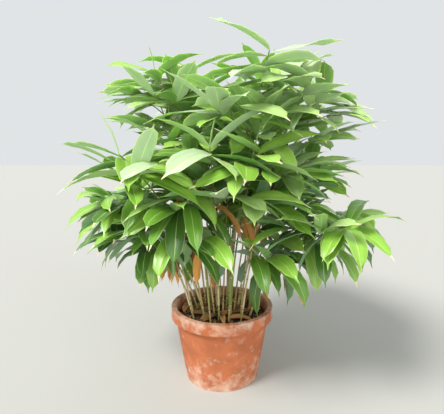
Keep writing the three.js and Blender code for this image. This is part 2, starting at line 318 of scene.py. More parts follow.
def tree_of(outline):
    return BVHTree.FromPolygons(outline[0].tolist(), outline[1])


def cane_feet():
    """Every foot's place on one even spiral, the leafy and the bare canes taking turns over it."""
    count = LEAFY_CANES + BARE_CANES
    leafy, bare = [], []
    for i in range(count):
        share = math.sqrt((i + 0.5) / count)
        turn = i * GOLDEN_ANGLE
        across = STAND_RADIUS * share
        place = (math.cos(turn) * across, math.sin(turn) * across, GROUND + CLEARANCE)
        is_bare = (i + 1) * BARE_CANES // count > i * BARE_CANES // count
        (bare if is_bare else leafy).append({"share": share, "turn": turn, "place": place})
    return leafy, bare


def leafy_cane(foot, i):
    """A leafy cane's whole line, its storey and where its foliage starts."""
    storey = STOREYS[0] if foot["share"] < HEART_SHARE else STOREYS[i % len(STOREYS)]
    full_length = HEART_LENGTH if foot["share"] < HEART_SHARE else storey["length"]
    length = full_length * pick(LEAFY["length"], i, 1)
    lean = between(*LEAFY["lean"], foot["share"])
    foot_slope = (90 - storey["foot_lean"] * lean) * DEGREE
    tip_slope = (90 - storey["tip_lean"] * lean * pick(LEAFY["tip_lean"], i, 2)) * DEGREE
    heading = foot["turn"] + pick(LEAFY["turn"], i, 3) * DEGREE
    radius = CANE_RADIUS * pick(LEAFY["radius"], i, 4)
    arc = Arc(foot["place"], heading, foot_slope, tip_slope, length)
    cane = Cane(i, storey, arc, radius)
    cane.stem = arc.rest(storey["bare"], CLEARANCE)
    cane.stem_radius = radius * (1 - CANE_TAPER * storey["bare"])
    return cane


def bare_cane(foot, i):
    """A bare old cane: straighter, shorter and broken off at its top."""
    length = pick(BARE["length"], i, 11)
    lean = between(*BARE["lean"], foot["share"]) * pick(BARE["own_lean"], i, 12)
    heading = foot["turn"] + pick(BARE["turn"], i, 13) * DEGREE
    slope = (90 - lean) * DEGREE
    radius = CANE_RADIUS * pick(BARE["radius"], i, 14)
    return Arc(foot["place"], heading, slope, slope - BARE_BEND * DEGREE, length), radius


def branch_places(cane):
    step = (HIGHEST_BRANCH - LOWEST_BRANCH) / (cane.storey["branches"] - 1)
    return [LOWEST_BRANCH + k * step for k in range(cane.storey["branches"])]


def branch_arcs(cane):
    """The branches of one mass, turning from side to side of its stem."""
    for k, t in enumerate(branch_places(cane)):
        sideways = (1 if k % 2 else -1) * pick(BRANCH["turn"], cane.number, k, 21) * DEGREE
        slope = (BRANCH_RISE + pick(BRANCH["rise"], cane.number, k, 22)) * DEGREE
        length = BRANCH_LENGTH * pick(BRANCH["length"], cane.number, k, 23) * (1 - SHORTER_HIGH_UP * t)
        last = slope - BRANCH_CURVE * DEGREE
        yield Arc(cane.stem.point(t), cane.arc.heading + sideways, slope, last, length)


def finer_twigs(cane):
    """Short twigs on the stem between its branches, and one to either side of each branch."""
    places = branch_places(cane)
    starts = []
    for k, (low, high) in enumerate(zip(places, places[1:])):
        turn = (1 if k % 2 else -1) * pick(TWIG["stem_turn"], cane.number, k, 51)
        starts.append((cane.stem.point((low + high) / 2), cane.arc.heading, turn))
    for k, branch in enumerate(cane.branches):
        turn = pick(TWIG["branch_turn"], cane.number, k, 54)
        turn = turn if chance(cane.number, k, 53) < 0.5 else -turn
        near, far = (branch.point(t) for t in TWIG_PLACES)
        starts += [(near, branch.heading, turn), (far, branch.heading, -turn)]
    for k, (start, heading, turn) in enumerate(starts):
        length = TWIG_LENGTH * pick(TWIG["length"], cane.number, k, 56)
        rise = pick(TWIG["rise"], cane.number, k, 52) * DEGREE
        yield Arc(start, heading + turn * DEGREE, rise, rise - BRANCH_CURVE * DEGREE, length)


def fan_start(twig, leaves):
    """Where a fan of leaves begins on its stem or branch, which is straight from there to its tip."""
    return 1 - FAN_STEP * leaves / twig.length


def fan_leaf(cane, fan, twig, k, count, attempt, scale=1, looser=LEAF_LOOSER):
    """One leaf of a fan. The youngest stands up in the middle, and the older ones spread and hang."""
    number, key = cane.number, fan * LEAVES_OF_FAN + k
    rank = min(1, k / (count - 1))
    if fan == 0:
        swing = k * GOLDEN_ANGLE + chance(number, 31) * 2 * math.pi
    else:
        swing = (1 if k % 2 else -1) * math.ceil(k / 2) * (FAN_SPREAD / count) * DEGREE
    loose = LEAF_LOOSE + looser * attempt
    jitter = pick((-loose, loose), number, key, attempt, 32) * DEGREE
    first, last = twig.point(fan_start(twig, count)), twig.point(1)
    held = min(max((last[2] - HANGING_HEIGHT) / (LEVEL_HEIGHT - HANGING_HEIGHT), 0), 1)
    rise = between(between(*YOUNG_RISE, held), between(*OLD_RISE, held), rank)
    rise += pick((-loose, loose), number, key, attempt, 33)
    droop = between(*DROOP, held) * between(*LEAF["old_droop"], rank)
    droop += pick(LEAF["droop"], number, key, attempt, 34)
    size = pick(LEAF["size"], number, key, 35) * (YOUNGEST_SIZE if k == 0 else 1) * scale
    roll = pick(LEAF["roll"], number, key, attempt, 36) * DEGREE
    root = first + (last - first) * (1 - (k + 0.4) / count)
    heading = twig.heading + swing + jitter
    arc = Arc(root, heading, rise * DEGREE, (rise - droop) * DEGREE, LEAF_LENGTH * size)
    return Leaf(arc, LEAF_WIDTH * size, roll, cane.fan_number(fan) * LEAVES_OF_FAN + k)


OCTAHEDRON = [(x, y, z) for x in (0, 1) for y in (2, 3) for z in (4, 5)]


def leaf_outline(leaf, grown=0.0, root_share=0.0):
    """The solid's own plain leaf: its root, tip, two edges and two faces."""
    arc = leaf.arc
    middle, flat_up = arc.point(LEAF_WIDEST), arc.up(LEAF_WIDEST)
    side = arc.side * math.cos(leaf.roll) + flat_up * math.sin(leaf.roll)
    up = flat_up * math.cos(leaf.roll) - arc.side * math.sin(leaf.roll)
    edge = middle + up * leaf.width * LEAF_TROUGH
    half, depth = leaf.width / 2 + grown, LEAF_THICKNESS / 2 + grown
    root, tip = arc.point(root_share), arc.point(1) + arc.along(1) * grown
    corners = [root, tip, edge - side * half, edge + side * half, middle - up * depth, middle + up * depth]
    return np.array(corners), OCTAHEDRON


def limb_outline(arc, radius, leaves, first, forks=()):
    """The solid's own plain limb: pointed at both ends, with a ring at its neck, forks, fan and tip."""
    places = sorted([first / arc.length, *forks, fan_start(arc, leaves), 1])
    corners = [arc.point(0)]
    for t in places:
        for k in range(STEM_SIDES):
            turn = 2 * math.pi * k / STEM_SIDES
            spoke = math.sin(turn) * arc.up(t) + math.cos(turn) * arc.side
            corners.append(arc.point(t) + between(radius, TWIG_TIP, t) * spoke)
    corners.append(arc.point(1))
    last = 1 + (len(places) - 1) * STEM_SIDES
    faces = [(0, 1 + k, 1 + (k + 1) % STEM_SIDES) for k in range(STEM_SIDES)]
    for first_corner in range(1, last, STEM_SIDES):
        for k in range(STEM_SIDES):
            a, b = first_corner + k, first_corner + (k + 1) % STEM_SIDES
            faces += [(a, b, a + STEM_SIDES), (b, b + STEM_SIDES, a + STEM_SIDES)]
    faces += [(last + k, last + (k + 1) % STEM_SIDES, len(corners) - 1) for k in range(STEM_SIDES)]
    return np.array(corners), faces


def keeps_to_space(cane, outline):
    """Whether every corner of an outline lies in the space of its own mass."""
    height = cane.stem.length / 2 + SPACE_PAST_STEM
    away = (outline[0] - cane.stem.point(SPACE_MIDDLE)) / (SPACE_RADIUS, SPACE_RADIUS, height)
    return bool(np.all(np.linalg.norm(away, axis=1) <= 1))


def in_reach(outline):
    """Whether an outline lies in the box of the solids."""
    corners = outline[0] * MM
    return bool(np.all(corners >= CAD_BOX[0]) and np.all(corners <= CAD_BOX[1]))


def grow_fan(crowd, cane, fan, twig, ranks, count, shapes=None):
    """Adds the leaves of one fan that find room. With shapes they are finer ones, which mind those too."""
    tries, *finer = (FINER_TRIES, FINER_LEAF, FINER_LOOSER) if shapes else (LEAF_TRIES,)
    for k in ranks:
        for attempt in range(tries):
            leaf = fan_leaf(cane, fan, twig, k, count, attempt, *finer)
            whole = leaf_outline(leaf, LEAF_SPACE)
            if not keeps_to_space(cane, whole) or (shapes and not in_reach(whole)):
                continue
            if not crowd.is_free(cane.number, whole, leaf_outline(leaf, LEAF_SPACE, LEAF_NECK)):
                continue
            if shapes and not shapes.is_free(leaf.fan, *full_shape(leaf)):
                continue
            crowd.place(cane.number, leaf_outline(leaf), leaf_outline(leaf, 0, LEAF_NECK))
            if shapes:
                shapes.place(leaf.fan, *full_shape(leaf))
            cane.leaves.append(leaf)
            break


def grow_limb(crowd, cane, arc, radius, leaves):
    """Whether a branch or twig finds room. If so, it is placed."""
    outline = limb_outline(arc, radius, leaves, BRANCH_NECK)
    free = crowd.is_free(cane.number, outline)
    if free:
        crowd.place(cane.number, outline)
    return free


def grow_as_solids(crowd, canes):
    """Grows the branches and leaves that the solids have, in the solids' own order."""
    for cane in canes:
        forks = branch_places(cane)
        crowd.place(cane.number, limb_outline(cane.stem, cane.stem_radius, TOP_LEAVES, 0, forks))
    for cane in canes:
        for arc in branch_arcs(cane):
            if grow_limb(crowd, cane, arc, BRANCH_RADIUS, FAN_LEAVES):
                cane.branches.append(arc)
    for cane in canes:
        grow_fan(crowd, cane, 0, cane.stem, range(TOP_LEAVES), TOP_LEAVES)
    for cane in canes:
        for k, branch in enumerate(cane.branches):
            grow_fan(crowd, cane, k + 1, branch, range(FAN_LEAVES), FAN_LEAVES)


def turned_leaf(leaf, attempt):
    """A leaf turned a little about its root: further with each attempt, and narrower and flatter too."""
    share = attempt / SETTLE_TRIES

    def turn(key):
        return SETTLE_TURN * DEGREE * share * pick((-1, 1), leaf.seed, attempt, key)

    arc, lift = leaf.arc, turn(42)
    turned = Arc(arc.start, arc.heading + turn(41), arc.first + lift, arc.last + lift + turn(43), arc.length)
    width = leaf.width * between(1, SETTLED_WIDTH, share)
    return Leaf(turned, width, leaf.roll + SETTLE_ROLL * turn(44), leaf.seed, 1 - share)


def settled_leaf(shapes, leaf):
    """The first turn of a leaf whose full shape crosses nothing, or else the one that crosses the fewest."""
    best, fewest = leaf, math.inf
    for attempt in range(SETTLE_TRIES):
        turned = turned_leaf(leaf, attempt)
        if attempt and not in_reach(leaf_outline(turned)):
            continue
        touched = len(list(shapes.touched(leaf.fan, *full_shape(turned))))
        if touched < fewest:
            best, fewest = turned, touched
        if not touched:
            break
    return best


def settle_leaves(shapes, canes):
    """Places the solids' limbs and the full shapes of their leaves, each leaf turned as it needs."""
    for cane in canes:
        limbs = [(cane.stem, cane.stem_radius, TOP_LEAVES)]
        limbs += [(branch, BRANCH_RADIUS, FAN_LEAVES) for branch in cane.branches]
        for k, limb in enumerate(limbs):
            shapes.place(cane.fan_number(k), limb_outline(*limb, BRANCH_NECK))
    for cane in canes:
        for i, leaf in enumerate(cane.leaves):
            cane.leaves[i] = settled_leaf(shapes, leaf)
            shapes.place(leaf.fan, *full_shape(cane.leaves[i]))


def grow_finer(crowd, shapes, canes, more_leaves):
    """Grows what only the scene has: finer twigs with their fans, and older leaves below each fan."""
    for cane in canes:
        for arc in finer_twigs(cane):
            outline = limb_outline(arc, TWIG_TIP, TWIG_LEAVES, BRANCH_NECK)
            if keeps_to_space(cane, outline) and grow_limb(crowd, cane, arc, TWIG_TIP, TWIG_LEAVES):
                shapes.place(cane.fan_number(FIRST_TWIG_FAN + len(cane.twigs)), outline)
                cane.twigs.append(arc)
    for cane in canes:
        for k, twig in enumerate(cane.twigs):
            grow_fan(crowd, cane, FIRST_TWIG_FAN + k, twig, range(TWIG_LEAVES), TWIG_LEAVES, shapes)
    for cane in canes:
        ranks = range(TOP_LEAVES, TOP_LEAVES + more_leaves)
        grow_fan(crowd, cane, 0, cane.stem, ranks, TOP_LEAVES, shapes)
        ranks = range(FAN_LEAVES, FAN_LEAVES + more_leaves)
        for k, branch in enumerate(cane.branches):
            grow_fan(crowd, cane, k + 1, branch, ranks, FAN_LEAVES, shapes)


# How much of an odd leaf's root may touch its stem, and a mass that no piece has, so that it minds all
LOOSE_NECK = 0.05
NO_MASS = "none"


def first_free(crowd, cane, tries):
    """The first leaf of several tries that keeps to its space and touches nothing, in a list, or no leaf."""
    for leaf in tries:
        whole = leaf_outline(leaf, 0, LOOSE_NECK)
        if keeps_to_space(cane, whole) and in_reach(whole) and crowd.is_free(NO_MASS, whole):
            crowd.place(cane.number, whole)
            return [leaf]
    return []


def rolled_leaf_tries(cane, twig, k):
    """A young leaf that is still rolled up, standing out of the tip of a fan."""
    for attempt in range(ROLLED_TRIES):
        key = cane.fan_number(k)
        rise = pick(ROLLED["rise"], key, attempt, 81) * DEGREE
        heading = twig.heading + pick(ROLLED["turn"], key, attempt, 82) * DEGREE
        length = pick(ROLLED["length"], key, 83)
        arc = Arc(twig.point(1), heading, rise, rise - ROLLED_DROOP * DEGREE, length)
        yield Leaf(arc, ROLLED_WIDTH, 0, key)


def withered_leaf_tries(cane, k):
    """A dead leaf that hangs from the lower stem, inside the crown."""
    for attempt in range(WITHERED_TRIES):
        key = cane.fan_number(k)
        start = cane.stem.point(pick(WITHERED["place"], key, attempt, 84))
        heading = 2 * math.pi * chance(key, attempt, 85)
        rise = pick(WITHERED["rise"], key, attempt, 86) * DEGREE
        length = pick(WITHERED["length"], key, 87)
        arc = Arc(start, heading, rise, -pick(WITHERED["hang"], key, 88) * DEGREE, length)
        yield Leaf(arc, length * WITHERED_WIDTH, 0, FIRST_WITHERED_SEED + key)


@functools.cache
def growth(more_leaves, withered):
    """Every leafy cane with its branches, twigs and leaves: the solids' own first, then the finer ones."""
    crowd = Crowd([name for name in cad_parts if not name.startswith("foliage")])
    canes = [leafy_cane(foot, i) for i, foot in enumerate(cane_feet()[0])]
    shapes = Crowd([])
    grow_as_solids(crowd, canes)
    settle_leaves(shapes, canes)
    grow_finer(crowd, shapes, canes, more_leaves)
    for cane in canes:
        for k, twig in enumerate([cane.stem, *cane.branches]):
            if chance(cane.number, k, 80) < ROLLED_SHARE:
                cane.rolled += first_free(crowd, cane, rolled_leaf_tries(cane, twig, k))
        for k in range(withered):
            cane.withered += first_free(crowd, cane, withered_leaf_tries(cane, k))
    return canes


def linear(hex_colour):
    """An sRGB hex colour as linear red, green, blue and alpha."""
    channels = [int(hex_colour[i : i + 2], 16) / 255 for i in (1, 3, 5)]
    return tuple(c / 12.92 if c <= 0.04045 else ((c + 0.055) / 1.055) ** 2.4 for c in channels) + (1.0,)


def add_node(tree, kind, settings=None, **inputs):
    """Adds a shader node, sets its properties, and sets or links its inputs by name, or by _number."""
    made = tree.nodes.new(kind)
    for key, value in (settings or {}).items():
        setattr(made, key, value)
    for key, value in inputs.items():
        socket = made.inputs[int(key[1:]) if key[1:].isdigit() else key.replace("_", " ")]
        if isinstance(value, bpy.types.NodeSocket):
            tree.links.new(value, socket)
        else:
            socket.default_value = value
    return made


def new_material(name, **inputs):
    """A material of one Principled shader with these inputs, and its node tree and shader."""
    made = bpy.data.materials.new(name)
    made.use_nodes = True
    made.node_tree.nodes.clear()
    shader = add_node(made.node_tree, "ShaderNodeBsdfPrincipled", None, **inputs)
    output = add_node(made.node_tree, "ShaderNodeOutputMaterial")
    made.node_tree.links.new(shader.outputs["BSDF"], output.inputs["Surface"])
    return made, made.node_tree, shader


def ramp(tree, factor, *stops):
    """A colour ramp over (place, colour) stops."""
    made = add_node(tree, "ShaderNodeValToRGB", None, Fac=factor)
    elements = made.color_ramp.elements
    while len(elements) < len(stops):
        elements.new(0.5)
    for element, (place, colour) in zip(elements, stops):
        element.position = place
        element.color = colour
    return made.outputs["Color"]


def grey(value):
    return (value, value, value, 1.0)


def tone(colour, light, grey_share=0.0):
    """A colour made lighter or darker, and drawn towards its own grey."""
    level = sum(colour[:3]) / 3
    return tuple(min(1, (c + (level - c) * grey_share) * light) for c in colour[:3]) + (1.0,)


def blend(colour, other, share):
    """A colour part of the way to another."""
    return tuple(between(a, b, share) for a, b in zip(colour, other))


def object_noise(tree, coordinates, wavelength_mm, detail=4.0, roughness=0.55):
    """Noise whose blotches are about a wavelength across."""
    scale = 1 / (wavelength_mm * MM)
    made = add_node(tree, "ShaderNodeTexNoise", None, Vector=coordinates, Scale=scale, Detail=detail)
    made.inputs["Roughness"].default_value = roughness
    return made.outputs["Fac"]


def join_parts(name, parts, materials):
    """One mesh object from parts of (corners in mm, faces, material numbers)."""
    corners, loops, sizes, slots = [], [], [], []
    base = 0
    for points, faces, numbers in parts:
        corners.append(points)
        for face in faces:
            loops.extend(base + i for i in face)
            sizes.append(len(face))
        slots.extend(numbers)
        base += len(points)
    mesh = bpy.data.meshes.new(name)
    mesh.vertices.add(base)
    mesh.vertices.foreach_set("co", (np.concatenate(corners) * MM).astype(np.float32).ravel())
    mesh.loops.add(len(loops))
    mesh.loops.foreach_set("vertex_index", np.array(loops, np.int32))
    mesh.polygons.add(len(sizes))
    mesh.polygons.foreach_set("loop_start", np.cumsum([0, *sizes[:-1]]).astype(np.int32))
    mesh.polygons.foreach_set("loop_total", np.array(sizes, np.int32))
    mesh.polygons.foreach_set("material_index", np.array(slots, np.int32))
    for material in materials:
        mesh.materials.append(material)
    mesh.update(calc_edges=True)
    mesh.validate()
    made = bpy.data.objects.new(name, mesh)
    bpy.context.scene.collection.objects.link(made)
    return made


def select_only(piece):
    bpy.ops.object.select_all(action="DESELECT")
    bpy.context.view_layer.objects.active = piece
    piece.select_set(True)


def finish_piece(piece, nodes=(), angle=40):
    """Smooths a piece's shading, and says what it rides on and the solids that it stands for."""
    select_only(piece)
    bpy.ops.object.shade_smooth_by_angle(angle=angle * DEGREE)
    bpy.ops.object.select_all(action="DESELECT")
    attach(piece, "root")
    if nodes:
        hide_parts(*nodes)


def nodes_named(start):
    return sorted(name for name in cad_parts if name.startswith(start))


# A leaf's stations from root to tip, each with the share of its half width there. The lines across it
# run over its top from edge to edge and back below its rib, and each begins the strip of that name.
STATIONS = (
    (0, 0.06),
    (0.07, 0.5),
    (0.2, 0.88),
    (0.4, 1),
    (0.62, 0.96),
    (0.8, 0.68),
    (0.9, 0.13),
    (1, 0.012),
)
LINES = (-1, -0.95, -0.48, -0.04, 0.04, 0.48, 0.95, 1, 0.05, -0.05)
STRIPS = ("margin", "blade", "vein", "midrib", "vein", "blade", "margin", "underside", "rib", "underside")
TOP_LINES = 8

# In mm: how far the blade bulges on either side of its midrib, how thick its edge and its rib are, and
# how far its rim is turned down
BULGE = 1.6
BULGE_LINE = 0.48
LEAF_THIN = 0.9
KEEL = 2.6
EDGE_DROP = 0.8

# How a leaf is bent: its edges wave 1.3 times along it, its end curls down past a place along it, and
# its tip hooks to one side by half of TIP_HOOK at most
RIPPLES = 1.3
CURL_FROM = 0.6
HOOK_FROM = 0.8
TIP_HOOK = 26

# How much a living and a dead leaf is bent, at the least and at the most: the height of its fold for
# its half width, of its waves in mm and of its curl for its length, and its twist in radians
LIVING = {"fold": (0.06, 0.34), "wave": (1, 5), "curl": (-0.1, 0.3), "twist": (-0.8, 0.8)}
DEAD = {"fold": (0.5, 1.1), "wave": (5, 5), "curl": (-0.2, 0.3), "twist": (-1.6, 1.6)}


def ring_faces(rows, sides):
    """The faces of a closed skin over rows of corners: those between the rows, and its two ends."""
    faces = []
    for row in range(rows - 1):
        for k in range(sides):
            a, b = row * sides + k, row * sides + (k + 1) % sides
            faces.append((a, b, b + sides, a + sides))
    last = (rows - 1) * sides
    return faces, [tuple(range(sides - 1, -1, -1)), tuple(range(last, last + sides))]


@functools.cache
def leaf_pattern():
    """Every corner's place along and across a leaf and its height off the blade, its faces and their parts.

    A face starts at the corner that makes its diagonal run as that of the face above or below it does, so
    that the two sides of a twisted leaf never cross.
    """
    ring = len(LINES)
    along, across, lift = [], [], []
    for place, width in STATIONS:
        for k, line in enumerate(LINES):
            along.append(place)
            across.append(line * width)
            if k >= TOP_LINES:
                lift.append(-LEAF_THIN - KEEL * width)
            elif abs(line) == 1:
                lift.append(-EDGE_DROP)
            else:
                lift.append(BULGE * width if abs(line) == BULGE_LINE else 0)
    strips, ends = ring_faces(len(STATIONS), ring)
    faces = [face if i % ring < TOP_LINES - 1 else face[1:] + face[:1] for i, face in enumerate(strips)]
    parts = list(STRIPS) * (len(STATIONS) - 2) + ["tip"] * ring + ["midrib", "tip"]
    return np.array(along), np.array(across), np.array(lift), faces + ends, parts


def bent_leaf(leaf, bends, bend=1.0):
    """The leaf pattern on one leaf's line: folded along its midrib, waved, curled and twisted."""
    along, across, lift, _, _ = leaf_pattern()
    keys = {"fold": 62, "wave": 63, "curl": 64, "twist": 65}
    fold, wave, curl, twist = (pick(bends[kind], leaf.seed, key) for kind, key in keys.items())
    curl, twist = curl * bend, twist * bend
    arc, half = leaf.arc, leaf.width / 2
    roll = (leaf.roll + twist * along**3)[:, None]
    flat_up = arc.up(along)
    side = arc.side * np.cos(roll) + flat_up * np.sin(roll)
    up = flat_up * np.cos(roll) - arc.side * np.sin(roll)
    reach = np.abs(across)
    ripple = np.sin(2 * math.pi * (RIPPLES * along + chance(leaf.seed, 60)) + np.sign(across))
    raised = lift + fold * half * reach + wave * reach * ripple
    raised = raised - curl * np.clip(along - CURL_FROM, 0, 1) ** 2 * arc.length
    hooked = np.clip(along - HOOK_FROM, 0, 1) / (1 - HOOK_FROM)
    hook = TIP_HOOK * (chance(leaf.seed, 67) - 0.5) * hooked
    return arc.point(along) + side * (across * half + hook)[:, None] + up * raised[:, None]


def full_shape(leaf):
    """A living leaf's corners and faces: the whole leaf, and without its neck and its ends."""
    points, faces = bent_leaf(leaf, LIVING, leaf.bend), leaf_pattern()[3]
    return (points, faces), (points, faces[len(LINES) : -2])


def leaf_skin(name, colour, roughness, glow=0.4):
    """Living leaf: a thin waxy skin, which gives a soft gloss, over green that lets some light through."""
    made, _, shader = new_material(
        name,
        Base_Color=colour,
        Roughness=roughness,
        Specular_IOR_Level=0.5,
        Coat_Weight=0.25,
        Coat_Roughness=0.3,
        Subsurface_Weight=glow,
        Subsurface_Scale=0.006,
    )
    shader.inputs["Subsurface Radius"].default_value = (0.8, 1.0, 0.25)
    return made


# Lit and shaded copies of one leaf green, darkest first: they paint shade low down and inside the crown and
# light at its top and outside
TINTS = ("shade", "deep", "mid", "fresh", "lime", "pale")

# Where a leaf's tint comes from: how high its middle is and how far out, which paint light at the crown's top
# and outside and shade low down and inside, and the chances of fan and leaf
TINT_FOOT = 590
TINT_HEIGHT = 1200
CROWN_MIDDLE = (0, 0, 1050)
CROWN_HALF = (700, 700, 760)
TINT_SHARES = {"height": 0.68, "outside": 0.24, "fan": 0.36, "leaf": 0.44}
DRY_TIPS = 0.45


def leaf_skins(settings):
    """The leaves' materials, lit and shaded copies for each tint, and for each tint the number of each part's
    material.
    """
    made = [leaf_skin("leaf_tip_withered_straw", settings.dry_tip, 0.7)]
    numbers = {}
    for k, tint in enumerate(TINTS):
        colour = getattr(settings, tint)
        light = k / (len(TINTS) - 1)
        # Undersides: the real waxy bloom over a lighter green, with painted light shining through: the
        # lighter the tint, the less bloom shows
        bloom = blend(tone(colour, 1.3), settings.glaucous, between(0.6, 0.25, light))
        finishes = {
            "blade": (colour, 0.38),
            "vein": (tone(colour, 1.1), 0.33),
            "underside": (bloom, 0.5),
            "midrib": (blend(colour, settings.midrib, 0.7), 0.45),
            "margin": (blend(colour, settings.margin, 0.45), 0.5),
            "rib": (blend(tone(colour, 1.6), settings.midrib, 0.4), 0.5),
        }
        numbers[tint] = {"dry": 0, "tip": len(made)}
        for part, finish in finishes.items():
            numbers[tint][part] = len(made)
            made.append(leaf_skin(f"leaf_{part}_{tint}", *finish, between(0.2, 0.75, light)))
    return made, numbers


def leaf_tint_with_painted_light(leaf):
    """Painted light and shade: darker low down and inside the crown, lighter towards its top and its outside,
    with a random tone for each fan and leaf.
    """
    place = leaf.arc.point(0.5)
    light = TINT_SHARES["height"] * (place[2] - TINT_FOOT) / TINT_HEIGHT
    light += TINT_SHARES["outside"] * np.linalg.norm((place - CROWN_MIDDLE) / CROWN_HALF)
    light += TINT_SHARES["fan"] * (chance(leaf.fan, 61) - 0.5)
    light += TINT_SHARES["leaf"] * (chance(leaf.seed, 61) - 0.5)
    return TINTS[int(min(max(light, 0), 0.999) * len(TINTS))]


def leaf_part(leaf, numbers):
    """A living leaf with the numbers of its tint. Some tips have dried."""
    tip = "dry" if chance(leaf.seed, 66) < DRY_TIPS else "tip"
    _, _, _, faces, parts = leaf_pattern()
    slots = [numbers[tip if part == "tip" else part] for part in parts]
    return bent_leaf(leaf, LIVING, leaf.bend), faces, slots


def shrivelled_part(leaf, slot):
    """A dead leaf: folded nearly shut, twisted and curled."""
    faces = leaf_pattern()[3]
    return bent_leaf(leaf, DEAD), faces, [slot] * len(faces)


def tube(arc, rings, sides):
    """A closed round limb over (radius, place, slot) rings of an arc. A face has its further ring's slot."""
    radii, places, slots = (np.array(values) for values in zip(*rings))
    turns = (2 * math.pi * np.arange(sides) / sides)[None, :, None]
    spokes = np.sin(turns) * arc.up(places)[:, None] + np.cos(turns) * arc.side
    corners = arc.point(places)[:, None] + radii[:, None, None] * spokes
    faces, ends = ring_faces(len(rings), sides)
    numbers = [int(slot) for slot in [*np.repeat(slots[1:], sides), slots[0], slots[-1]]]
    return corners.reshape(-1, 3), faces + ends, numbers


CANE_SKINS = ("straw", "tan", "olive", "green", "node_brown", "wax_bloom", "sheath_paper", "hollow_brown")
STRAW, TAN, OLIVE, GREEN, BROWN, BLOOM, SHEATH, HOLLOW = range(len(CANE_SKINS))

# The shares of a cane's length that the rings of nodes and those between them keep from its ends, and
# where between two nodes it swells, and by how much
END_GAP = 0.004
MIDDLE_GAP = 0.01
MIDDLE = 0.55
SWELLING = 1.01

# The sides of a cane, of a twig or rolled leaf, of a sheath and of a bit of bark
CANE_SIDES = 9
TWIG_SIDES = 6
SHEATH_SIDES = 7
CHIP_SIDES = 5

# A node's relief as (mm above the node, share of the cane's radius, its own slot if it has one)
NODE_RELIEF = (
    (-16, 1.0, None),
    (-6, 1.03, BLOOM),
    (-2, 1.2, BROWN),
    (0, 1.28, BROWN),
    (1.5, 1.04, BROWN),
    (4, 1.15, None),
    (10, 1.0, None),
)

# A sheath as (share of its length, share of the cane's radius), in mm how far above its node it starts,
# how far down its mouth closes and how far it keeps from the cane's top, and its length for that of an
# internode
SHEATH_FORM = ((0, 1.05), (0.06, 1.22), (0.7, 1.2), (0.95, 1.34), (1, 1.38))
SHEATH_FOOT = 3
SHEATH_MOUTH = 3
SHEATH_ROOM = 10
SHEATH_LENGTHS = (0.4, 0.72)

# How high the foot of a cane flares, and the hollow in a broken one, in mm. The old canes' numbers
# follow on from those of the leafy ones.
FLARE_HEIGHT = 40
HOLLOW_DEPTH = 8
FIRST_OLD_CANE = 100

# How a cane's skin turns: how many internodes up it is greenest, the share of them that is green there,
# and the shares that are olive, and olive or tan, at its foot
GREENEST = 6
GREEN_SHARE = 0.6
OLIVE_SHARE = 0.12
TAN_SHARE = 0.6

# Twigs: the length of an internode, the least place where a fan starts, and the radius at the foot and
# at the tip of a stem's top, a branch and a finer twig
TWIG_INTERNODE = 64
LEAST_FAN_START = 0.25
STEM_TIP = 2.6
BRANCH_ENDS = (3.0, 2.3)
FINER_ENDS = (2.4, 2.0)


def ringed(arc, radius_at, span, internode, slot_of):
    """Rings of a cane or twig over a span of its arc, with the relief of a node at every node."""
    first, last = span
    rings = [(radius_at(first), first, slot_of(0))]
    node = internode * FIRST_NODE
    for number in range(int(arc.length / internode) + 1):
        place = node + number * internode
        for rise, share, slot in NODE_RELIEF:
            t = (place + rise) / arc.length
            if first + END_GAP < t < last - END_GAP:
                rings.append((radius_at(t) * share, t, slot_of(number) if slot is None else slot))
        middle = (place + internode * MIDDLE) / arc.length
        if first < middle < last - MIDDLE_GAP:
            rings.append((radius_at(middle) * SWELLING, middle, slot_of(number + 1)))
    return rings + [(radius_at(last), last, slot_of(number + 1))]


def sheath_part(arc, radius_at, place, length):
    """A papery sheath that still holds a cane above a node, open a little at its top."""
    rings = []
    for share, grown in SHEATH_FORM:
        t = (place + share * length) / arc.length
        rings.append((radius_at(t) * grown, t, SHEATH))
    mouth = (place + length - SHEATH_MOUTH) / arc.length
    rings.append((radius_at(mouth) * 1.02, mouth, BROWN))
    return tube(arc, rings, SHEATH_SIDES)


def cane_skin(number, internode, youth):
    """Straw at the foot, and greener the higher the internode of a young cane."""
    value = chance(number, internode, 71)
    green = youth * internode / GREENEST
    if value < green * GREEN_SHARE:
        return GREEN
    if value < green + OLIVE_SHARE:
        return OLIVE
    return TAN if value < TAN_SHARE + green else STRAW


def cane_parts(arc, radius, number, last, youth, sheaths):
    """A cane up to a place along it, and the sheaths that it has kept. An old one is broken and hollow."""

    def radius_at(t):
        flare = (FOOT_FLARE - 1) * max(0, 1 - t * arc.length / FLARE_HEIGHT)
        return radius * (1 - CANE_TAPER * t) * (1 + flare)

    def skin(internode):
        return cane_skin(number, internode, youth)

    rings = ringed(arc, radius_at, (0, last), INTERNODE, skin)
    if youth == 0:
        end = radius_at(1)
        rings += [(end * 0.6, 1, HOLLOW), (end * 0.55, 1 - HOLLOW_DEPTH / arc.length, HOLLOW)]
    parts = [tube(arc, rings, CANE_SIDES)]
    for k in range(int(last * arc.length / INTERNODE)):
        place = (FIRST_NODE + k) * INTERNODE + SHEATH_FOOT
        length = INTERNODE * pick(SHEATH_LENGTHS, number, k, 73)
        if chance(number, k, 72) < sheaths and place + length < last * arc.length - SHEATH_ROOM:
            parts.append(sheath_part(arc, radius_at, place, length))
    return parts


def twig_part(arc, radius, tip, number, leaves):
    """A green twig with close nodes, thicker where the leaf sheaths of its fan wrap it."""
    skin = GREEN if chance(number, 74) < GREEN_SHARE else OLIVE
    fan = max(LEAST_FAN_START, fan_start(arc, leaves))
    rings = ringed(arc, lambda t: between(radius, tip, t), (0, fan), TWIG_INTERNODE, lambda _: skin)
    rings += [(tip * 1.3, min(fan + 0.03, 0.96), BLOOM), (tip * 1.15, 0.98, GREEN), (tip * 0.6, 1, GREEN)]
    return tube(arc, rings, TWIG_SIDES)


